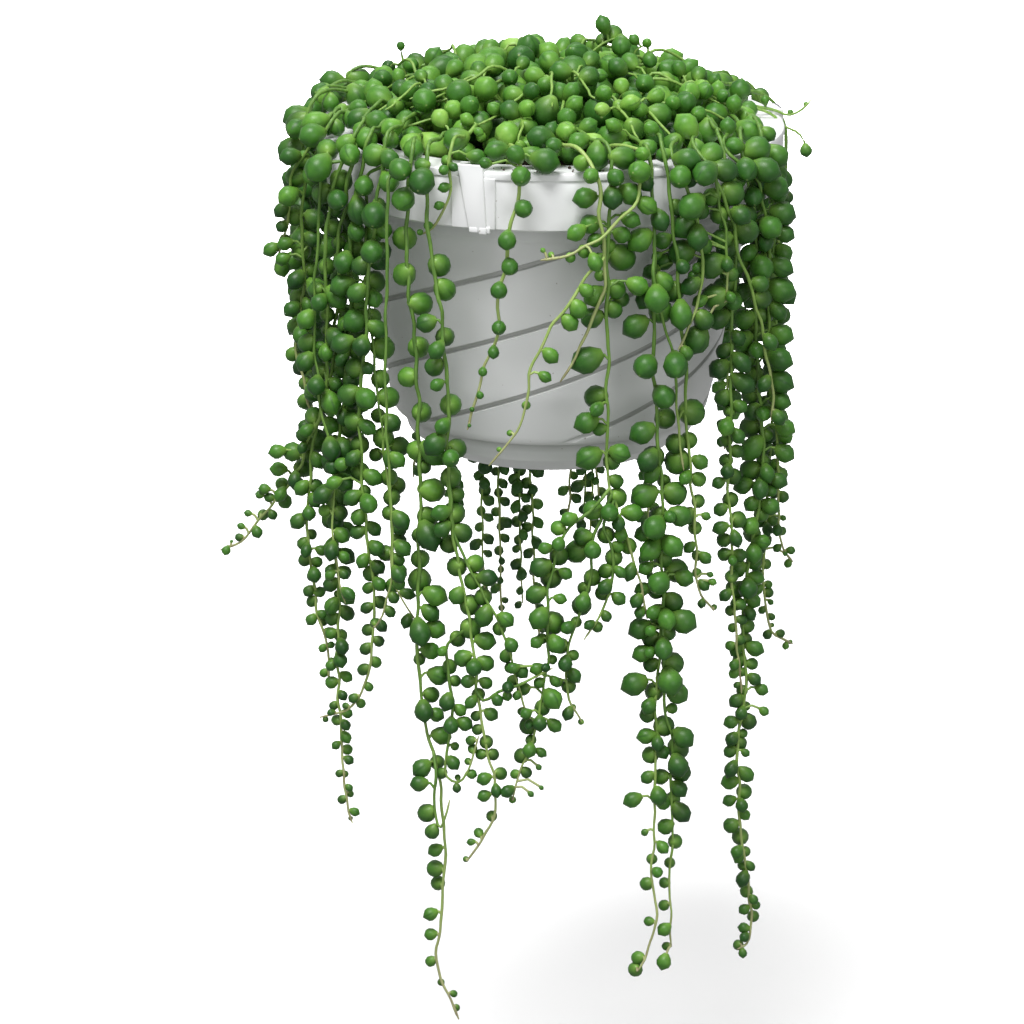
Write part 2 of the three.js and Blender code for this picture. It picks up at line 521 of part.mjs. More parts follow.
// ---------------------------------------------------------------- soil
/** The soil that fills the pot, with a plain hole where each stem stands. */
function soil() {
  const inside = (radius) => (radius - BODY_WALL) * FLAT_SHARE - GAP;
  const floor = -POT_HEIGHT + BODY_WALL + GAP;
  const outline = [
    [0, floor], [inside(BASE_RADIUS + BODY_WALL), floor], [inside(66.6), -92], [inside(76.6), -30],
    [inside(77.5), SOIL_TOP], [0, SOIL_TOP],
  ];
  let shape = turned(outline, SOIL_SEGMENTS);
  const width = STEM_RADIUS + 2 * GAP;
  const holes = allStems().filter(({ rooted }) => rooted).map(({ curve }) => {
    const foot = curve.getPoint(0);
    const hole = new THREE.CylinderGeometry(width, width, 2 * ROOT_DEPTH + 1, 4);
    return solid(hole.rotateX(Math.PI / 2).translate(foot.x, foot.y, SOIL_TOP));
  });
  shape = shape.subtract(wasm.Manifold.union(holes));
  return pieceMesh('soil', shape, EARTH);
}

const group = new THREE.Group();
group.add(pot(), soil(), ...plant());

export default group;
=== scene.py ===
# %% [markdown]
# # A string of pearls in a hanging pot
#
# The plant is a trailing succulent: thin stems that creep over the soil and hang far down the pot, each
# set with round, water-storing leaves like beads. The pot is one moulding of white plastic with a hollow
# turned-down rim, three small lugs where a hanger clips on, and shallow spiral grooves round its body.
#
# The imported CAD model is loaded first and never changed. It is the measure of everything: each new piece
# stands where its CAD node stands and takes that node's place in the picture.

# %% Load the frame
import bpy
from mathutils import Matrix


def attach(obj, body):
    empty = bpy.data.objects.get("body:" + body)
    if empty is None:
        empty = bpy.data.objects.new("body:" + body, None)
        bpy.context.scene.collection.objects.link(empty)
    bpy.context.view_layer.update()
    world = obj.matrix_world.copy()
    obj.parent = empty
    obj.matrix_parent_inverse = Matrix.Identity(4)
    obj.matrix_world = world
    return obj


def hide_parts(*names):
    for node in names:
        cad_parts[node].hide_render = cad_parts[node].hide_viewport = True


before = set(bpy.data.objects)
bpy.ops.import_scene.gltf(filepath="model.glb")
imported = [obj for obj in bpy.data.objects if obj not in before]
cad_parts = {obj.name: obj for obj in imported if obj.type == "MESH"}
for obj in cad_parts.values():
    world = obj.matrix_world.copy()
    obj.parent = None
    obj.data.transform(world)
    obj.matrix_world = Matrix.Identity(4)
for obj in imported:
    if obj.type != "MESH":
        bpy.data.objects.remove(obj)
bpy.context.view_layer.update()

# %% [markdown]
# ## Working in millimetres
#
# The measurements were taken in millimetres, so the routes and sizes below are written in millimetres and
# multiplied by MM where they become Blender geometry, which is in metres. The origin is the middle of the
# rim's top. An azimuth is an angle round the pot in degrees, from the front (-Y) towards +X.

# %% Units, azimuths and repeatable draws
import math

import bpy
from mathutils import Matrix, Vector, kdtree, noise

MM = 0.001
GOLDEN_ANGLE = 137.508  # degrees from place to place of a spiral that covers a disc evenly
# what stands for the stem's number in the draws of things that belong to no single stem
CRUMB_DRAWS, CREEPER_DRAWS, LOOK_DRAWS, FILLING_DRAWS = 200, 300, 400, 500


def polar(azimuth, radius, height):
    """A point at an azimuth, a distance from the pot's axis and a height, in millimetres."""
    turn = math.radians(azimuth)
    return Vector((radius * math.sin(turn), -radius * math.cos(turn), height))


def azimuth_of(point):
    return math.degrees(math.atan2(point.x, -point.y))


def near_turn(degrees):
    """The same angle between -180 and 180 degrees."""
    return degrees - 360 * round(degrees / 360)


def draw(stem, leaf, choice):
    """A number from 0 to 1 that is always the same for one choice about one leaf of one stem."""
    n = ((stem + 1) * 73856093 ^ (leaf + 1) * 19349663 ^ (choice + 1) * 83492791) & 0xFFFFFFFF
    n = (n ^ (n >> 13)) * 1274126177 & 0xFFFFFFFF
    return (n ^ (n >> 16)) / 4294967296


print("a draw:", round(draw(3, 4, 0), 3), "and the same again:", round(draw(3, 4, 0), 3))

# %% Selecting and editing as by hand
bpy.context.tool_settings.mesh_select_mode = (True, False, False)


def only(obj):
    """Makes obj the one selected and active object, in object mode."""
    if bpy.context.mode != "OBJECT":
        bpy.ops.object.mode_set(mode="OBJECT")
    bpy.ops.object.select_all(action="DESELECT")
    obj.select_set(True)
    bpy.context.view_layer.objects.active = obj


def pick(obj, wanted):
    """Selects, in edit mode, the vertices of obj whose places pass the test."""
    only(obj)
    for part in (*obj.data.vertices, *obj.data.edges, *obj.data.polygons):
        part.select = False
    for vertex in obj.data.vertices:
        vertex.select = wanted(vertex.co)
    bpy.ops.object.mode_set(mode="EDIT")


def apply_modifier(obj, kind, **settings):
    """Gives obj a modifier with these settings and applies it."""
    only(obj)
    modifier = obj.modifiers.new(kind, kind)
    for key, value in settings.items():
        setattr(modifier, key, value)
    bpy.ops.object.modifier_apply(modifier=modifier.name)


def new_object(name, data):
    """A new object in the scene with the given data."""
    obj = bpy.data.objects.new(name, data)
    bpy.context.collection.objects.link(obj)
    return obj


def copy_of(obj, placing):
    """A copy of obj with a mesh of its own, moved by the matrix placing."""
    copy = new_object(obj.name, obj.data.copy())
    copy.data.transform(placing)
    return copy


def join(objects, name):
    """Joins objects into the first one and names it."""
    only(objects[0])
    for obj in objects:
        obj.select_set(True)
    bpy.ops.object.join()
    joined = bpy.context.view_layer.objects.active
    joined.name = joined.data.name = name
    return joined


def write_on(obj, name, values):
    """Writes one number on each vertex of obj, for its finish to read."""
    obj.data.attributes.new(name, "FLOAT", "POINT").data.foreach_set("value", values)


def stand_for(piece, slot, *nodes):
    """Fixes a finished piece to the part and hides the CAD nodes that it stands for."""
    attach(piece, "root")
    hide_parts(*nodes)
    print(piece.name, "has", len(piece.data.polygons), "faces")


bpy.ops.object.select_all(action="DESELECT")

# %% [markdown]
# ## The finishes
#
# A finish is a small network of nodes. Each one starts from a place: the object's own coordinates, so that
# a pattern keeps its real size on every piece, or the leaf's own UV map, which says how far a spot lies
# from the stalk to the tip. Noise turns the place into gentle variation, and a colour ramp turns that
# variation into colours that were judged against the real plant.

# %% Helpers for node networks
def fill_in(node, inputs):
    """Gives inputs of a node, by name or number, a value each or the socket of another node."""
    for key, value in inputs.items():
        if isinstance(value, bpy.types.NodeSocket):
            node.id_data.links.new(value, node.inputs[key])
        else:
            node.inputs[key].default_value = value


def finish_named(name):
    """A new material, a function that adds a node to it, and its shader."""
    material = bpy.data.materials.new(name)
    material.use_nodes = True
    nodes = material.node_tree.nodes

    def add(kind, inputs=(), **settings):
        node = nodes.new("ShaderNode" + kind)
        for key, value in settings.items():
            setattr(node, key, value)
        fill_in(node, dict(inputs))
        return node

    return material, add, nodes["Principled BSDF"]


def noise_at(add, place, scale, detail, roughness=0.5):
    """The value of a noise at a place; returns a socket, as do the helpers below."""
    node = add("TexNoise", {"Vector": place, "Scale": scale, "Detail": detail, "Roughness": roughness})
    return node.outputs["Fac"]


def remap(add, value, before, after):
    """Stretches a range of values to another one and cuts off what lies outside it."""
    limits = dict(zip(("From Min", "From Max", "To Min", "To Max"), (*before, *after)))
    return add("MapRange", {"Value": value, **limits}).outputs[0]


def reckon(add, operation, first, second=0.0, clamp=False):
    return add("Math", {0: first, 1: second}, operation=operation, use_clamp=clamp).outputs[0]


def ramp(add, factor, stops):
    """A colour ramp over the stops, each a position and a linear colour."""
    node = add("ValToRGB", {"Fac": factor})
    spots = node.color_ramp.elements
    while len(spots) < len(stops):
        spots.new(0.5)
    for spot, (position, colour) in zip(spots, stops):
        spot.position = position
        spot.color = (*colour, 1)
    return node.outputs["Color"]


def share_ramp(add, factor, *stops):
    """A ramp of greys, for how much of a second colour shows."""
    return ramp(add, factor, [(position, (share, share, share)) for position, share in stops])


def blend(add, factor, first, second):
    """Mixes two colours by a factor."""
    return add("Mix", {0: factor, 6: first, 7: second}, data_type="RGBA").outputs[2]


def relief(add, height, strength, distance):
    bump = add("Bump", {"Height": height, "Strength": strength, "Distance": distance})
    return bump.outputs["Normal"]


# %% [markdown]
# ### The pearl leaves
#
# A leaf is a skin over clear jelly: mid green, waxy, a little lighter and yellower by the stalk, with a
# narrow window line down one side and a pale point. Young leaves are yellower. The number that each leaf
# gets when it is placed picks its place on the ramp. It holds painted light and shade too: leaves of the
# crown are painted lighter, as lit from above, and hanging leaves at the back darker, as in shade.

# %% Leaf finish
leaf_skin, add, shader = finish_named("pearl_leaf_skin")
place = add("TexCoord").outputs["Object"]
spot = add("SeparateXYZ", {0: add("UVMap", uv_map="UVMap").outputs[0]})
around, along = spot.outputs["X"], spot.outputs["Y"]
# the leaf's number for the ramp, holding painted light and shade as well as its own tone
tint_and_shade = add("Attribute", attribute_name="tint_and_shade").outputs["Fac"]
mottle = remap(add, noise_at(add, place, 170.0, 3.0, 0.6), (0.3, 0.7), (-0.11, 0.11))
skin = ramp(add, reckon(add, "ADD", tint_and_shade, mottle, clamp=True), [
    (0.0, (0.012, 0.060, 0.010)), (0.35, (0.028, 0.112, 0.014)), (0.6, (0.060, 0.195, 0.020)),
    (0.82, (0.140, 0.335, 0.040)), (1.0, (0.290, 0.490, 0.100)),
])
by_stalk = share_ramp(add, along, (0.0, 0.9), (0.17, 0.5), (0.36, 0.12), (0.6, 0))
skin = blend(add, by_stalk, skin, (0.24, 0.42, 0.07, 1))
off_line = reckon(add, "ABSOLUTE", reckon(add, "SUBTRACT", around, 0.5))
on_line = remap(add, off_line, (0.008, 0.03), (1.0, 0.0))
within = share_ramp(add, along, (0.28, 0), (0.45, 0.45), (0.9, 0.45), (0.97, 0))
skin = blend(add, reckon(add, "MULTIPLY", on_line, within), skin, (0.012, 0.055, 0.010, 1))
at_point = share_ramp(add, along, (0.945, 0), (0.99, 0.55), (1.0, 0.7))
skin = blend(add, at_point, skin, (0.38, 0.48, 0.17, 1))
wax = noise_at(add, place, 900.0, 2.0)
fill_in(shader, {
    "Base Color": skin, "Roughness": remap(add, wax, (0.3, 0.7), (0.36, 0.47)),
    "Normal": relief(add, wax, 0.12, 0.0002), "Specular IOR Level": 0.36,
    "Subsurface Weight": 0.08, "Subsurface Radius": (0.4, 1.0, 0.2), "Subsurface Scale": 0.0015,
})
print("leaf finish:", len(leaf_skin.node_tree.nodes), "nodes")

# %% [markdown]
# ### The stems
#
# Grown stems are green, young ones a pale yellow-green, and all are slightly streaked. Towards the hanging
# tips they dry out to straw, and right at the end to a greyish brown. "dry" is written on each stem's
# vertices as it is made.

# %% Stem finish
stem_skin, add, shader = finish_named("stem_skin")
place = add("TexCoord").outputs["Object"]
dry = add("Attribute", attribute_name="dry").outputs["Fac"]
long_grain = add("Mapping", {"Vector": place, "Scale": (900.0, 900.0, 110.0)}).outputs[0]
streak = noise_at(add, long_grain, 1.0, 3.0)
tone = reckon(add, "ADD", dry, remap(add, streak, (0.3, 0.7), (-0.12, 0.14)), clamp=True)
colour = ramp(add, tone, [
    (0.0, (0.062, 0.158, 0.020)), (0.3, (0.170, 0.320, 0.052)), (0.55, (0.300, 0.440, 0.110)),
    (0.8, (0.380, 0.410, 0.175)), (1.0, (0.240, 0.200, 0.120)),
])
fill_in(shader, {"Base Color": colour, "Roughness": 0.5, "Normal": relief(add, streak, 0.3, 0.0002)})
print("stem finish:", len(stem_skin.node_tree.nodes), "nodes")

# %% [markdown]
# ### The pot's plastic
#
# Injection-moulded white plastic is never one flat white: it is faintly clouded and it carries a few dark
# specks of soil. Painted shade darkens its grooves and a band under the edge at its foot. The cloud is a
# large soft noise, the specks are the rare peaks of a fine one, and the painted shade is written on the
# pot's vertices as the grooves are made. A third noise scuffs the gloss.

# %% Plastic finish
white_plastic, add, shader = finish_named("white_plastic")
place = add("TexCoord").outputs["Object"]
cloud = noise_at(add, place, 16.0, 4.0, 0.55)
clean = ramp(add, cloud, [(0.3, (0.800, 0.806, 0.810)), (0.7, (0.862, 0.868, 0.872))])
# painted shade: the grooves and the band under the edge over the foot are darkened towards grey
painted_shade = add("Attribute", attribute_name="painted_shade").outputs["Fac"]
shaded_plastic = blend(add, remap(add, painted_shade, (0, 1), (0, 0.6)), clean, (0.270, 0.280, 0.250, 1))
speck = share_ramp(add, noise_at(add, place, 520.0, 1.0), (0.775, 0), (0.8, 0.55))
scuff = noise_at(add, place, 90.0, 5.0, 0.7)
fill_in(shader, {
    "Base Color": blend(add, speck, shaded_plastic, (0.22, 0.17, 0.12, 1)),
    "Roughness": remap(add, scuff, (0.25, 0.75), (0.27, 0.43)), "Normal": relief(add, scuff, 0.08, 0.0004),
})
print("plastic finish:", len(white_plastic.node_tree.nodes), "nodes")

# %% [markdown]
# ### The soil
#
# Potting compost is dark brown fibre with lighter crumbs. A cell pattern gives the crumbs, and the same
# pattern lifts them a little in the relief.

# %% Soil finish
compost, add, shader = finish_named("compost")
place = add("TexCoord").outputs["Object"]
cells = add("TexVoronoi", {"Vector": place, "Scale": 420.0}).outputs["Distance"]
tone = add("Mix", {0: 0.45, 2: noise_at(add, place, 130.0, 6.0, 0.7), 3: cells}).outputs[0]
colour = ramp(add, tone, [
    (0.25, (0.012, 0.008, 0.005)), (0.5, (0.045, 0.028, 0.016)), (0.8, (0.150, 0.098, 0.058)),
])
fill_in(shader, {"Base Color": colour, "Roughness": 0.92, "Normal": relief(add, tone, 0.8, 0.001)})
print("soil finish:", len(compost.node_tree.nodes), "nodes")

# %% [markdown]
# ## The pot
#
# The pot is one moulding of revolution, so it is drawn as it would be turned: a ring of points at the foot,
# extruded ring by ring up the outside, over the hollow rim, and down the inside to the floor. The spiral
# grooves need no cutting. Each ring of the grooved part is turned a little further than the one below,
# so that its columns of points follow the grooves, and the points of a groove are then drawn inwards.

# %% Pot sizes
# outlines as radius and height: the foot from the bottom up, the body from the top down, and the rim from
# its hollow underside over the top and down the inside to the floor
BOTTOM_RADIUS, BOTTOM = 30, -127
FOOT = [(41.6, -127), (42.2, -126.2), (43.4, -126.2), (44, -127), (45.6, -127), (46.8, -126.4),
        (54.4, -121.4), (55.4, -120.7), (56.2, -120.3), (56.5, -119.7), (56.6, -119.1), (57.6, -116.4),
        (58.6, -113.6), (59, -112.8), (59.8, -112.5), (61, -112.4), (61.6, -112), (61.8, -111.5)]
BODY = [(77.4, -28), (76.6, -30), (75.0, -43), (72.4, -59), (68.8, -78), (66.7, -92), (61.9, -111.4)]
RIM = [(76.7, -29.6), (77.2, -29), (77.4, -28), (77.5, -16), (77.6, -3.4), (78.4, -2.5), (87, -2.4),
       (87.9, -3.2), (87.7, -12), (87.5, -21.4), (87.9, -22), (88.9, -22), (89.4, -21.4), (89.5, -14),
       (89.6, -4.2), (89.3, -3.6), (89.3, -3.2), (89.9, -2.8), (90, -1.7), (89.7, -0.6), (88.8, -0.05),
       (83, -0.3), (76.6, -0.05), (75.9, -0.4), (75.6, -1.2), (75.5, -8), (74.6, -30), (64.6, -92),
       (60.5, -107), (54, -118.8), (48, -124.6), (44, -125)]
GROOVES = 6
GROOVE_RISE = 156  # climb of a groove in one turn
GROOVE_FRONT = -35.5  # height of one groove at the very front
GROOVE_TOP, GROOVE_FOOT = -31, -111
GROOVE_ROWS = 46  # steps of the grooved part from foot to top
GROOVE_DEPTH = 1.3
GROOVE_SHARES = {  # azimuth from the groove's middle: share of the depth
    -3.3: 0, -2.8: 0.25, -2.3: 0.7, -1.8: 0.95, -0.6: 1, 0.6: 1, 1.2: 0.9, 1.6: 0.6, 2.0: 0.25, 2.5: 0,
}
GROOVE_REACH = 4  # more degrees than a groove reaches to either side of its middle
COLUMNS = [*GROOVE_SHARES, *range(6, 56, 4)]  # azimuths of the points from one groove to the next
RING_POINTS = len(COLUMNS) * GROOVES
LIP, LIP_REACH, LIP_SHADE = -113, 3, 0.8  # the edge over the foot: height, how far the painted shade under it reaches, how strong
print(RING_POINTS, "points in a ring")


def body_radius(height):
    """Outside radius of the pot's body at a height, in straight steps between the measured ones."""
    for (upper, top), (lower, bottom) in zip(BODY, BODY[1:]):
        if height >= bottom:
            return lower + (upper - lower) * (height - bottom) / (top - bottom)
    return BODY[-1][0]


def groove_turn(height):
    """How far the grooves have gone round the pot at a height, in degrees."""
    return 360 * (min(max(height, GROOVE_FOOT), GROOVE_TOP) - GROOVE_FRONT) / GROOVE_RISE


# %% The first ring of the pot
bpy.ops.mesh.primitive_circle_add(vertices=RING_POINTS, radius=BOTTOM_RADIUS * MM,
                                  location=(0, 0, BOTTOM * MM))
pot = bpy.context.active_object
bpy.ops.object.transform_apply(location=True)
for number, vertex in enumerate(pot.data.vertices):
    panel, column = divmod(number, len(COLUMNS))
    azimuth = 360 * panel / GROOVES + COLUMNS[column] + groove_turn(BOTTOM)
    vertex.co = polar(azimuth, BOTTOM_RADIUS, BOTTOM) * MM
ring = {"radius": BOTTOM_RADIUS, "height": BOTTOM, "outside": True}


def next_ring(radius, height):
    """Extrudes the selected ring of edges to a new radius and height, turned as the grooves are."""
    turn = math.radians(groove_turn(height) - groove_turn(ring["height"])) if ring["outside"] else 0
    bpy.ops.mesh.extrude_region_move(
        TRANSFORM_OT_translate={"value": (0, 0, (height - ring["height"]) * MM)})
    middle = (0, 0, height * MM)
    if radius != ring["radius"]:
        grown = radius / ring["radius"]
        bpy.ops.transform.resize(value=(grown, grown, 1), center_override=middle)
    if turn:
        bpy.ops.transform.rotate(value=-turn, orient_axis="Z", center_override=middle)
    ring.update(radius=radius, height=height)


# %% Up the outside, ring by ring
pick(pot, lambda place: True)
for radius, height in FOOT:
    next_ring(radius, height)
for row in range(GROOVE_ROWS + 1):
    height = GROOVE_FOOT + (GROOVE_TOP - GROOVE_FOOT) * row / GROOVE_ROWS
    next_ring(body_radius(height), height)
only(pot)
# painted shade on each vertex: a band under the edge over the foot, and the grooves
painted_shade = []
for vertex in pot.data.vertices:
    height = vertex.co.z / MM
    vertex_shade = LIP_SHADE * max(0, 1 - abs(height - LIP) / LIP_REACH)
    ends = min(1, max(0, (height - GROOVE_FOOT - 0.5) / 3), max(0, (GROOVE_TOP - height) / 2))
    if ends > 0:
        turned = azimuth_of(vertex.co) - groove_turn(height)
        offset = (turned + GROOVE_REACH) % (360 / GROOVES) - GROOVE_REACH
        share = GROOVE_SHARES.get(round(offset, 1), 0)
        drawn_in = 1 - share * ends * GROOVE_DEPTH * MM / math.hypot(vertex.co.x, vertex.co.y)
        vertex_shade = min(1, 4 * share if offset > 0 else share) * ends  # painted shade, stronger on the lower side that the lamp lights
        vertex.co.x *= drawn_in
        vertex.co.y *= drawn_in
    painted_shade.append(vertex_shade)
write_on(pot, "painted_shade", painted_shade)
deepest = min(math.hypot(v.co.x, v.co.y) / MM - body_radius(v.co.z / MM) for v in pot.data.vertices
              if -100 < v.co.z / MM < -35)
print("grooves are", round(-deepest, 2), "mm deep")

# %% Over the rim and down the inside
top_edge = max(v.co.z for v in pot.data.vertices)
pick(pot, lambda place: place.z > top_edge - 1e-6)
ring["outside"] = False
for radius, height in RIM:
    next_ring(radius, height)
bpy.ops.mesh.edge_face_add()
pick(pot, lambda place: place.z < (BOTTOM + 0.1) * MM
     and math.hypot(place.x, place.y) < (BOTTOM_RADIUS + 0.5) * MM)
bpy.ops.mesh.edge_face_add()
bpy.ops.mesh.select_all(action="SELECT")
bpy.ops.mesh.normals_make_consistent(inside=False)
only(pot)
print("pot moulding:", len(pot.data.polygons), "faces")

# %% [markdown]
# ### Drain holes
#
# Four round holes in the floor let water out. A cylinder stands through the floor at each place, and a
# Boolean modifier cuts it away.

# %% Drain holes
for azimuth in (45, 135, 225, 315):
    spot = polar(azimuth, 34, BOTTOM + 1) * MM
    bpy.ops.mesh.primitive_cylinder_add(vertices=32, radius=3.5 * MM, depth=8 * MM, location=spot)
    drill = bpy.context.active_object
    apply_modifier(pot, "BOOLEAN", operation="DIFFERENCE", solver="EXACT", object=drill)
    bpy.data.objects.remove(drill)
print("with drain holes:", len(pot.data.polygons), "faces")

# %% [markdown]
# ### The hanger lugs
#
# Where a hanger clips on, the rim carries a low backing plate and a tapering strap that folds over the
# rim's edge and ends below it in three small lobes. Each is a box, the strap with its lower end drawn in,
# and a bevel rounds its edges as a mould does. One lug is made at azimuth 0 and copied to its three places.

# %% One lug
LUG_AZIMUTHS = (-18.4, 101.6, 221.6)


def block(near, far, round_by, foot=1.0, slide=0.0):
    """A box between two corners, with its lower end drawn in and slid sideways, and its edges rounded."""
    low, high = Vector(near), Vector(far)
    bpy.ops.mesh.primitive_cube_add(size=1, location=(low + high) / 2 * MM)
    box = bpy.context.active_object
    box.scale = (high - low) * MM
    bpy.ops.object.transform_apply(location=True, scale=True)
    pick(box, lambda place: place.z < (low.z + high.z) / 2 * MM)
    bpy.ops.transform.resize(value=(foot, 1, 1), center_override=((low.x + high.x) / 2 * MM, 0, 0))
    bpy.ops.transform.translate(value=(slide * MM, 0, 0))
    apply_modifier(box, "BEVEL", width=round_by * MM, segments=3, limit_method="NONE")
    return box


lug = join([
    block((-9.4, -90.2, -21.5), (7.4, -88.2, -2.4), 0.3),
    block((-7.1, -91.1, -22.4), (2.9, -89, 2.5), 0.5, foot=0.68, slide=3),
    block((-7.1, -91, -0.6), (2.9, -86, 2.5), 0.5),
    block((-2.5, -91.2, -23), (1.1, -89.4, -20.5), 0.6),
    block((1.2, -91.2, -23.5), (4.4, -89.4, -20.5), 0.6),
    block((4.4, -90.8, -23), (5.6, -89.4, -20.5), 0.4),
], "hanger_lug")
print("one lug:", len(lug.data.polygons), "faces")

# %% The lugs round the rim
lugs = [copy_of(lug, Matrix.Rotation(math.radians(azimuth), 4, "Z")) for azimuth in LUG_AZIMUTHS]
bpy.data.objects.remove(lug)
pot = join([pot, *lugs], "pot_moulding")
bpy.ops.object.shade_smooth_by_angle(angle=math.radians(32))
pot.data.materials.append(white_plastic)
stand_for(pot, "pot_plastic", "pot")

# %% [markdown]
# ## The soil
#
# The compost fills the pot to just under the rim. It is a turned plug whose top is divided into rings and
# lifted unevenly by a Displace modifier with a cloud texture. Crumbs of one small shape are then strewn
# round its edge, and the last few on the rim's top at the front, where no leaves lie.

# %% Soil plug
SOIL_TOP = -7
MOUTH = 75  # radius of the pot's mouth
middle = (0, 0, (SOIL_TOP - 9) * MM)
bpy.ops.mesh.primitive_cylinder_add(vertices=64, radius=74.6 * MM, depth=18 * MM, location=middle)
soil = bpy.context.active_object
bpy.ops.object.transform_apply(location=True)
pick(soil, lambda place: place.z > (SOIL_TOP - 1) * MM)
for _ in range(11):
    bpy.ops.mesh.inset(thickness=6 * MM)
bpy.ops.mesh.merge(type="CENTER")
pick(soil, lambda place: place.z < (SOIL_TOP - 10) * MM)
for deeper, narrower in ((66, 0.85), (32, 0.68)):
    bpy.ops.mesh.extrude_region_move(TRANSFORM_OT_translate={"value": (0, 0, -deeper * MM)})
    bpy.ops.transform.resize(value=(narrower, narrower, 1))
only(soil)
soil.vertex_groups.new(name="top").add(
    [v.index for v in soil.data.vertices
     if v.co.z > (SOIL_TOP - 1) * MM and math.hypot(v.co.x, v.co.y) < 74 * MM], 1, "REPLACE")
lumps = bpy.data.textures.new("lumps", "CLOUDS")
lumps.noise_scale, lumps.noise_depth = 5 * MM, 3
apply_modifier(soil, "DISPLACE", texture=lumps, texture_coords="LOCAL", strength=4 * MM, mid_level=0.6,
               direction="Z", vertex_group="top")
bpy.ops.object.shade_smooth()
print("soil from", round(min(v.co.z for v in soil.data.vertices) / MM, 1), "to",
      round(max(v.co.z for v in soil.data.vertices) / MM, 1), "mm")

# %% Crumbs on the soil and on the rim
bpy.ops.mesh.primitive_ico_sphere_add(subdivisions=1, radius=1)
crumb = bpy.context.active_object
bpy.ops.object.mode_set(mode="EDIT")
bpy.ops.transform.vertex_random(offset=0.25, seed=4)
only(crumb)
CRUMBS = 200
LAST_ON_SOIL = 160  # the crumbs after this one lie on the rim's top at the front
crumbs = []
for number in range(CRUMBS):
    size = 0.4 + 0.9 * draw(CRUMB_DRAWS, number, 0) ** 2
    round_pot, inwards = draw(CRUMB_DRAWS, number, 1), draw(CRUMB_DRAWS, number, 2)
    if number > LAST_ON_SOIL:
        size *= 0.7
        place = polar(45 * round_pot - 24, 79 + 8 * inwards, 0.2 * size)
    else:
        place = polar(360 * round_pot, MOUTH - (16 * inwards ** 2 + size), SOIL_TOP + 0.3 * size)
    axle = Vector((1, draw(CRUMB_DRAWS, number, 4), 0.5)).normalized()
    turn = Matrix.Rotation(6.28 * draw(CRUMB_DRAWS, number, 3), 4, axle)
    shape = Matrix.Diagonal((size * MM, size * MM, 0.7 * size * MM, 1))
    crumbs.append(copy_of(crumb, Matrix.Translation(place * MM) @ turn @ shape))
bpy.data.objects.remove(crumb)
soil = join([soil, *crumbs], "soil_plug")
soil.data.materials.append(compost)
stand_for(soil, "soil", "soil")

# %% [markdown]
# ## Where the stems run
#
# Each trailing stem roots in the soil, creeps outwards through the crown, crosses the rim and hangs. Its
# hanging part was measured; the part in the crown follows from the ring in which it roots. A smooth curve
# is laid through the points, each stretch bending according to the distance between its points, and is
# then walked in even steps. A little noise gives the knees that a real stem has at its leaves.

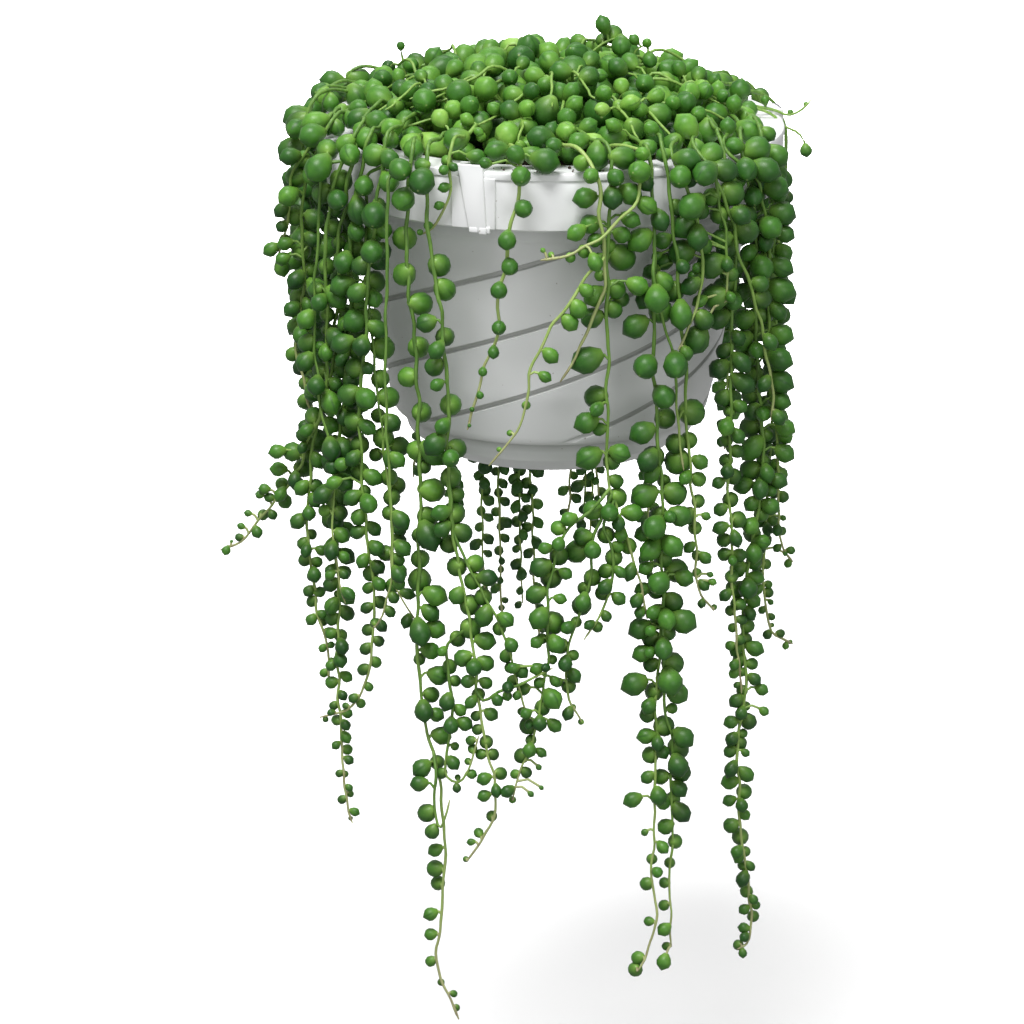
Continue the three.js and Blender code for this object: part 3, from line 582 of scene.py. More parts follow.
# %% The measured stems
# Leaf diameter at the rim and at the tip, how late the leaves grow small, the distance from leaf to leaf,
# the hanging route from rim to tip as x y z, and the routes of side branches. The stems go round the pot
# from the back over the left side.
STRANDS = [
    (7.8, 3.1, 2.0, 3.1, "-19 96 0, -20 97 -70, -20 97 -140, -21 96 -200, -19 95 -240"),
    (9, 4, 2.0, 3.0, "-41 89 0, -42 90 -60, -43 89 -125, -40 88 -188"),
    (9.2, 4, 2.0, 3.0, "-52 84 0, -54 84 -50, -56 83 -102, -54 82 -148, -57 80 -170"),
    (9.4, 4.4, 2.0, 3.0, "-82 47 0, -84 47 -55, -83 47 -112, -81 49 -150"),
    (9.4, 4, 2.0, 3.0, "-90 28 1, -92 29 -40, -93 29 -86, -90 30 -120, -89 32 -142"),
    (9.8, 5, 2.0, 3.0, "-93 11 1, -96 11 -32, -97 11 -70, -94 13 -108"),
    (9.6, 4, 2.0, 3.0, "-94 -6 1, -97 -6 -34, -96 -6 -72, -94 -8 -108, -94 -10 -134"),
    (9.8, 6, 1.5, 3.5, "-94 -36 -3, -99 -34 -15, -100 -30 -30, -103 -26 -42, -106 -22 -51"),
    (9.8, 6.5, 1.3, 3.5, "-90 -41 -2, -94 -34 -17, -95 -31 -44, -96 -30 -67, -98 -30 -81, "
     "-96 -32 -93, -93 -34 -106"),
    (9.6, 3, 2.5, 3.5, "-80 -63 3, -83 -59 -17, -85 -57 -56, -86 -54 -88, -89 -52 -105, "
     "-94 -44 -117, -98 -38 -129, -103 -33 -138, -110 -28 -148, -115 -24 -155, -121 -21 -163, "
     "-130 -18 -169"),
    (9.4, 3, 2.0, 3.5, "-77 -61 -1, -79 -58 -25, -81 -54 -57, -85 -50 -89, -91 -47 -114, "
     "-93 -46 -131, -94 -46 -151, -93 -46 -169, -91 -46 -186, -88 -46 -197, -87 -46 -215"),
    (9.4, 3, 1.8, 3.5, "-71 -64 -3, -75 -61 -28, -76 -58 -64, -79 -55 -96, -82 -53 -117, "
     "-84 -52 -137, -83 -52 -161, -82 -52 -178, -83 -52 -194, -83 -52 -219, -82 -52 -239, "
     "-81 -54 -255, -78 -56 -270"),
    (9.2, 3, 1.8, 3.5, "-65 -73 -2, -67 -71 -33, -70 -69 -65, -73 -67 -100, -71 -68 -132, "
     "-70 -69 -150, -68 -69 -168, -69 -69 -184, -71 -66 -203, -75 -62 -215, -80 -58 -222, "
     "-90 -56 -225"),
    (9.2, 3.4, 2.5, 4.6, "-55 -80 -2, -54 -81 -35, -51 -82 -65, -50 -83 -96, -50 -83 -127, "
     "-50 -83 -151, -51 -83 -175, -50 -84 -203, -47 -85 -221, -44 -86 -235, -42 -87 -251, "
     "-41 -87 -268, -42 -87 -289, -44 -87 -306, -44 -87 -321, -39 -89 -331, -36 -90 -338"),
    (8.8, 3, 2.5, 4.6, "-49 -85 -2, -45 -87 -29, -41 -89 -55, -39 -90 -86, -39 -90 -105, "
     "-38 -91 -132, -34 -92 -156, -30 -93 -179, -28 -94 -203, -25 -95 -221, -22 -95 -235, "
     "-22 -95 -250, -26 -94 -260, -32 -93 -270", "-39 -90 -107, -38 -91 -124, -37 -91 -136, "
     "-32 -93 -147, -28 -94 -158, -22 -95 -168, -17 -96 -178, -14 -97 -191, -11 -97 -204, -8 -98 -211"),
    (3.8, 2.6, 1.2, 9, "-38 -85 3, -38 -85 -7, -39 -84 -13, -42 -82 -19, -48 -80 -25"),
    (8, 2.8, 1.5, 11, "-12 -94 2, -14 -94 -12, -16 -94 -24, -17 -93 -33, -20 -93 -43, -20 -93 -56, "
     "-23 -92 -66, -26 -91 -74, -28 -91 -83, -30 -90 -90, -32 -90 -97"),
    (9.0, 3, 1.3, 5.2, "11 -98 11, 16 -98 0, 17 -98 -15, 19 -97 -31, 18 -98 -42, 13 -98 -55, "
     "8 -99 -66, 3 -99 -76", "19 -100 -30, 13 -101 -34, 10 -101 -38, 4 -102 -49, -1 -102 -55, "
     "-5 -102 -63, -9 -102 -73, -10 -101 -86, -13 -101 -93, -18 -100 -101, -24 -99 -108"),
    (9.4, 4, 3, 4.6, "21 -94 0, 20 -94 -27, 20 -94 -58, 20 -94 -85, 21 -93 -116, 25 -93 -130, "
     "29 -91 -143, 33 -90 -158, 36 -89 -172", "20 -96 -120, 14 -97 -127, 6 -98 -133, 2 -98 -141, "
     "-1 -98 -154, -2 -98 -169, -2 -98 -185, -4 -98 -202, -7 -98 -218, -12 -97 -232, -15 -97 -243",
     "21 -94 -123, 15 -95 -141, 13 -95 -158, 8 -96 -174, 5 -96 -186, 7 -96 -203, 12 -95 -213"),
    (7.4, 2.6, 1.2, 5.5, "35 -95 -4, 29 -97 -10, 23 -98 -16, 16 -99 -22, 9 -100 -26, 3 -101 -28, "
     "-5 -101 -29"),
    (9.8, 4, 2, 4.6, "36 -89 -6, 37 -89 -25, 37 -89 -44, 37 -88 -67, 38 -88 -86, 40 -87 -110, "
     "41 -87 -134, 42 -87 -165, 40 -87 -198, 40 -87 -222, 40 -87 -247, 39 -87 -276, 41 -88 -297, "
     "38 -88 -310, 34 -90 -318", "42 -88 -161, 42 -88 -181, 43 -88 -206, 46 -87 -224, 46 -86 -247, "
     "47 -86 -268, 46 -86 -289, 47 -86 -309"),
    (9.4, 3, 3, 4.6, "42 -87 -5, 45 -86 -29, 47 -85 -53, 49 -84 -72, 50 -83 -96, 52 -82 -116, "
     "54 -81 -140, 55 -79 -158, 57 -78 -167, 62 -75 -174"),
    (9.8, 6, 2.0, 4.6, "47 -88 0, 52 -86 -16, 55 -85 -34, 53 -85 -49, 50 -87 -59, 46 -89 -67"),
    (9.8, 6, 2.0, 4.6, "58 -85 4, 62 -82 -9, 66 -79 -22, 69 -76 -35, 74 -72 -48, 78 -68 -62, "
     "80 -65 -74, 83 -63 -88, 83 -62 -102"),
    (9, 3.4, 1.5, 4.6, "65 -71 -2, 68 -69 -19, 68 -68 -38, 67 -68 -65, 67 -69 -92, 67 -68 -120, "
     "68 -68 -140, 69 -67 -156, 70 -65 -175, 72 -63 -194, 74 -62 -212"),
    (9.8, 3.4, 2.2, 3.5, "69 -72 2, 75 -66 -8, 79 -62 -22, 81 -60 -38, 81 -58 -56, 82 -56 -78, "
     "84 -54 -96, 86 -52 -116, 87 -50 -135, 88 -47 -151, 90 -42 -161, 94 -36 -168"),
    (9.2, 4, 1.6, 3.5, "73 -62 -4, 75 -61 -21, 76 -59 -44, 77 -57 -68, 79 -56 -96, 81 -56 -120, "
     "79 -57 -141, 76 -58 -159, 74 -59 -181, 75 -60 -198, 76 -60 -213, 74 -60 -227, 73 -61 -239, "
     "74 -60 -258, 76 -59 -280, 79 -57 -298, 80 -56 -311, 79 -58 -319, 74 -61 -322"),
    (9.2, 3, 1.6, 3.5, "80 -49 -4, 83 -44 -21, 84 -40 -37, 86 -38 -77, 85 -39 -109, 84 -40 -140, "
     "83 -42 -155, 83 -41 -175, 85 -38 -192, 90 -34 -200, 96 -28 -205"),
    (9.4, 6, 2.0, 3.0, "89 27 1, 93 28 -12, 91 28 -50, 90 28 -90"),
    (9.2, 4.4, 2.0, 3.0, "81 42 0, 86 44 -44, 84 44 -90, 83 46 -132"),
    (9, 4, 2.0, 3.0, "72 57 0, 76 60 -50, 74 59 -104, 73 60 -152"),
    (9.2, 5.5, 2.0, 3.0, "60 71 0, 62 74 -38, 60 73 -78"),
    (8.8, 3.6, 2.0, 3.0, "46 82 0, 47 84 -60, 45 84 -118, 42 85 -176, 44 83 -215"),
    (7.8, 3.2, 2.0, 3.1, "25 91 0, 23 94 -66, 21 94 -130, 21 94 -192"),
    (7.8, 3.4, 2.0, 3.1, "10 96 0, 11 97 -60, 11 97 -130, 9 96 -196"),
    (7.8, 3.1, 2.0, 3.1, "-4 96 0, -5 97 -70, -8 97 -150, -6 96 -205, -4 95 -250"),
]
print(len(STRANDS), "trailing stems")

# %% Smaller stems that hang among the others
# The trailing stem that each belongs to, then its leaf diameters, leaf distance and route.
HANGERS_ON = [
    (11, 9.2, 4, 4.8, "-86 -59 -2, -88 -56 -33, -90 -55 -69, -88 -57 -96, -83 -60 -122, "
     "-84 -62 -142, -82 -64 -159, -81 -66 -169, -79 -68 -174"),
    (14, 9.2, 4, 4.8, "-60 -85 0, -61 -84 -26, -62 -84 -61, -62 -84 -95, -61 -84 -119, "
     "-60 -85 -142, -61 -84 -161, -64 -82 -172, -68 -79 -180"),
    (13, 9, 5, 4.8, "-69 -62 -5, -69 -63 -47, -67 -65 -77, -64 -67 -108, -61 -69 -139, "
     "-61 -71 -161, -57 -74 -170, -51 -78 -177"),
    (24, 9.6, 6, 4.8, "58 -85 2, 61 -83 -13, 64 -81 -31, 64 -80 -50"),
    (21, 9.8, 8, 5, "36 -92 -35, 38 -91 -45, 41 -90 -57, 44 -89 -68, 46 -88 -86, 47 -87 -102, "
     "49 -86 -114"),
    (15, 6, 3, 6, "-40 -90 -180, -39 -91 -196, -38 -91 -212, -40 -91 -227, -39 -92 -239, "
     "-34 -93 -236, -30 -94 -226, -28 -95 -217"),
    (15, 5, 3, 9, "-28 -96 -204, -20 -98 -198, -10 -99 -194, 0 -100 -188"),
    (19, 8, 3.4, 5, "18 -95 -131, 22 -95 -142, 22 -95 -155, 19 -95 -166, 12 -96 -178"),
    (14, 7, 5, 7, "-44 -91 -233, -45 -91 -245, -43 -92 -258, -39 -93 -245"),
    (1, 7.4, 3.4, 3.2, "-20 97 -75, -26 97 -110, -28 96 -170, -27 95 -226"),
    (36, 7.4, 3.4, 3.2, "-5 97 -80, -11 97 -115, -12 96 -180, -11 95 -232"),
    (35, 7.4, 3.4, 3.2, "11 97 -80, 15 96 -120, 16 95 -180, 14 95 -214"),
    (34, 7.4, 3.4, 3.2, "22 94 -90, 18 95 -130, 19 94 -170, 18 94 -200"),
]
print(len(HANGERS_ON), "smaller stems")

# %% A smooth route through points
ROUTE_STEP = 2.5


def smooth_route(points):
    """Walks a centripetal Catmull-Rom curve through the points in even steps."""
    knots = [2 * points[0] - points[1], *points, 2 * points[-1] - points[-2]]
    dense = []
    for first, second, third, fourth in zip(knots, knots[1:], knots[2:], knots[3:]):
        before, span, after = (max((b - a).length ** 0.5, 1e-4) for a, b in (
            (first, second), (second, third), (third, fourth)))
        leave = (second - first) / before - (third - first) / (before + span) + (third - second) / span
        arrive = (third - second) / span - (fourth - second) / (span + after) + (fourth - third) / after
        for part in range(16):
            t = part / 16
            dense.append(second * (1 - 3 * t * t + 2 * t ** 3) + third * (3 * t * t - 2 * t ** 3)
                         + span * (leave * (t - 2 * t * t + t ** 3) + arrive * (t ** 3 - t * t)))
    dense.append(points[-1].copy())
    length = sum((b - a).length for a, b in zip(dense, dense[1:]))
    steps = max(3, round(length / ROUTE_STEP))
    route, walked, wanted = [dense[0]], 0.0, length / steps
    for near, far in zip(dense, dense[1:]):
        stretch = (far - near).length
        while walked + stretch >= wanted - 1e-6 and len(route) <= steps:
            route.append(near.lerp(far, (wanted - walked) / max(stretch, 1e-9)))
            wanted += length / steps
        walked += stretch
    return route


def read_route(text):
    return [Vector([float(number) for number in point.split()]) for point in text.split(",")]


def wander(spot):
    """A small vector that changes smoothly from spot to spot, and is the same in every run."""
    return Vector([noise.noise(spot + Vector(apart)) for apart in ((0, 0, 0), (31, 7, 13), (5, 47, 19))])


def kneed(route, amount):
    """The same route with small sideways knees, fading in from its start."""
    return [point + wander(point / 9) * amount * min(1, number / 6) for number, point in enumerate(route)]


def nearest(spot, points):
    """The number of the point that is nearest to a spot."""
    return min(range(len(points)), key=lambda number: (points[number] - spot).length)


# %% The stems' whole routes
RIM_RADIUS = 90
# the trailing stems root in three rings; for each its radius, the share of the crown's height at which its
# stems run, and the height at which they cross the rim
ROOT_RINGS, CROWN_SHARES, CROSSINGS = (55, 65, 60), (0.62, 0.2, 0.4), (10, 7.2, 8.2)
UNDER, OVER = -3, 5  # heights of a trailing stem's first two points, from the soil's top


def right_fall(spot):
    """How much lower the crown lies at a spot, because it slopes down a little on the right."""
    return 0.13 * max(0, spot.x - 45)


def mound_top(spot):
    """Height of the top of the leafy mound at a spot."""
    radius = min(88, math.hypot(spot.x, spot.y))
    return 29 - 0.0026 * radius * radius - right_fall(spot)


def in_crown(azimuth, radius, ring):
    """A point of a trailing stem inside the crown, in one of three levels."""
    spot = polar(azimuth, radius, 0)
    bottom = SOIL_TOP + OVER + 0.31 * max(0, radius - ROOT_RINGS[0])
    spot.z = bottom + CROWN_SHARES[ring] * (mound_top(spot) - bottom)
    return spot


def strand_points(number, hang):
    """The points of a trailing stem, from its root in the soil over the rim to its tip."""
    ring = number % 3
    crossing = azimuth_of(hang[0])
    root = -180 + 360 * (number + 0.5) / len(STRANDS)
    start, edge = ROOT_RINGS[ring], RIM_RADIUS + 1
    points = [polar(root, start, SOIL_TOP + UNDER), polar(root, start, SOIL_TOP + OVER)]
    for share in (0.3, 0.65):
        azimuth = root + share * near_turn(crossing - root)
        points.append(in_crown(azimuth, start + share * (edge - start), ring))
    over_rim = polar(crossing, edge, CROSSINGS[ring])
    over_rim.z -= right_fall(over_rim)
    return [*points, over_rim, *hang[1:]]


def strand(number):
    """The name of a trailing stem's node."""
    return f"strand_{number:02d}"


stems = []  # every stem of the plant, in the order in which it gets its leaves


def add_stem(node, route, leaf, pitch, thick):
    """Notes a stem; leaf holds its leaf diameters at start and tip and how late they grow small."""
    stems.append({"node": node, "route": route, "leaf": leaf, "pitch": pitch, "thick": thick})


for number, (size, tip_size, fade, pitch, hang, *forks) in enumerate(STRANDS):
    route = kneed(smooth_route(strand_points(number, read_route(hang))), 1.1)
    add_stem(strand(number + 1), route, (size, tip_size, fade), pitch, 1.0)
    for fork in forks:
        branch = kneed(smooth_route(read_route(fork)), 1.1)
        branch[0] = route[nearest(branch[0], route)]
        add_stem(strand(number + 1), branch, (size * 0.9, tip_size, fade), pitch, 0.8)
for number, size, tip_size, pitch, hang in HANGERS_ON:
    host = next(stem["route"] for stem in stems if stem["node"] == strand(number))
    route = kneed(smooth_route(read_route(hang)), 0.9)
    start = max(0, nearest(route[0], host) - 2)
    add_stem(strand(number), smooth_route([host[start], *route[1::3], route[-1]]),
             (size, tip_size, 2), pitch, 0.8)
print(len(stems), "hanging stems and branches, the longest",
      max(len(stem["route"]) for stem in stems) * ROUTE_STEP, "mm")

# %% [markdown]
# ### The stems of the crown
#
# In the crown the stems creep in all directions just under the topmost leaves, and some arch over them.
# They root in the open middle, rise, and run outwards in a gentle arc. Two young shoots stand up at the
# back right and two small ones at the back left, and two sprigs reach past the rim at the right.

# %% Creeping stems
CREEPERS = 40
for number in range(CREEPERS):
    turn = GOLDEN_ANGLE * number
    start = 8 + 44 * math.sqrt(draw(CREEPER_DRAWS, number, 0))
    reach = min(76, start + 34 + 26 * draw(CREEPER_DRAWS, number, 1))
    swing = 30 * (draw(CREEPER_DRAWS, number, 2) - 0.5) * 2
    depth = 4.5 + 4 * draw(CREEPER_DRAWS, number, 3)
    if number % 5 == 0:  # every fifth arches over the leaves
        depth *= 0.15
    points = [polar(turn, start, SOIL_TOP - 3), polar(turn + 2, start + 2, SOIL_TOP + 6)]
    for share in (0.3, 0.65, 1.0):
        spot = polar(turn + swing * share, start + share * (reach - start), 0)
        spot.z = mound_top(spot) - depth
        points.append(spot)
    add_stem("crown", kneed(smooth_route(points), 1.6), (11.8, 9.0, 2), 6.4, 0.9)

# %% Upright shoots and sprigs, with no other leaves than the measured ones
SPRIGS = [
    "6 8 -9, 7 12 8, 8 14 15, 12 14 20, 17 14 25, 21 14 28, 27 14 30",
    "26 12 2, 28 14 13, 31 14 19, 33 14 25, 37 14 27",
    "60 14 2, 66 12 6, 73 10 5, 78 10 4, 82 10 3, 87 10 2, 92 10 0, 97 10 2, 101 10 6",
    "62 4 4, 71 5 4, 77 5 4, 82 5 3, 86 5 1, 90 5 -3, 96 5 -6, 98 5 -9",
    "-9 28 4, -10 29 10, -11 29 15, -12 29 20, -14 29 24",
    "-55 36 4, -57 38 10, -58 38 15, -59 38 20",
]
for route in SPRIGS:
    add_stem("crown", smooth_route(read_route(route)), (5, 3, 1), 1000, 0.85)
print(len(stems), "stems in all")

# %% [markdown]
# ## Finding room for the leaves
#
# The leaves press against each other but don't run into each other. Every leaf and every stretch of stem
# is kept as a ball in a grid of cells, so that a new leaf needs to be compared only with the balls near
# it. It also keeps clear of the pot, the soil and the lugs. A leaf that finds no room is turned round its
# stem, and where that doesn't help, the stem has no leaf there.

# %% Balls in a grid
CELL = 15
NEXT_CELLS = (-1, 0, 1)
STEM_BALL = 0.9  # radius of a stem's ball, as a share of its thickness
STEM_LIMIT, STEM_PRESS = 1.1, 0.9  # a ball up to this radius is taken for a stem's, and pressed this much
grid = {}


def cell_of(place):
    return tuple(math.floor(value / CELL) for value in place)


def put_ball(place, radius, owner):
    grid.setdefault(cell_of(place), []).append((place.copy(), radius, owner))


def room_for(place, radius, owner, press):
    """True if a ball clears all others; press is the share of the distance that leaves may give way."""
    home = cell_of(place)
    for x in NEXT_CELLS:
        for y in NEXT_CELLS:
            for z in NEXT_CELLS:
                for other, size, stem in grid.get((home[0] + x, home[1] + y, home[2] + z), ()):
                    least = (radius + size) * (press if size > STEM_LIMIT else STEM_PRESS)
                    if stem != owner and (other - place).length < least:
                        return False
    return True


LUG_TOP, RIM_TOP, RIM_FOOT = 2.4, 0.2, -24  # heights that a leaf must clear
WALL_RADIUS = 77.5  # of the pot's body under the rim


def clear_of_pot(place, radius):
    """True if a ball is off the soil, the rim, the body and the lugs."""
    out = math.hypot(place.x, place.y)
    low = place.z - radius
    lug = min(abs(math.radians(near_turn(azimuth_of(place) - at))) * RIM_RADIUS for at in LUG_AZIMUTHS)
    if low > LUG_TOP:
        return True
    if out < MOUTH:
        return low > SOIL_TOP - 0.5 and (out + radius < MOUTH + 0.4 or low > RIM_TOP)
    if low > RIM_TOP:
        return lug > 8 + radius
    if place.z + radius > RIM_FOOT:
        return out - radius > RIM_RADIUS + (2 if lug < 13 + radius else 0.2)
    return out - radius > WALL_RADIUS + 0.2


for number, stem in enumerate(stems):
    for point in stem["route"]:
        put_ball(point, STEM_BALL * stem["thick"], number)
print(sum(len(balls) for balls in grid.values()), "stem balls")

# %% [markdown]
# ### Leaves that were measured one by one
#
# Most leaves that can be told apart were measured, so that the plant has its large leaves and its bare
# stretches in the right places. Each is hung on the nearest stem of its own node, by a stalk if they do
# not touch, and points away from it and a little down.

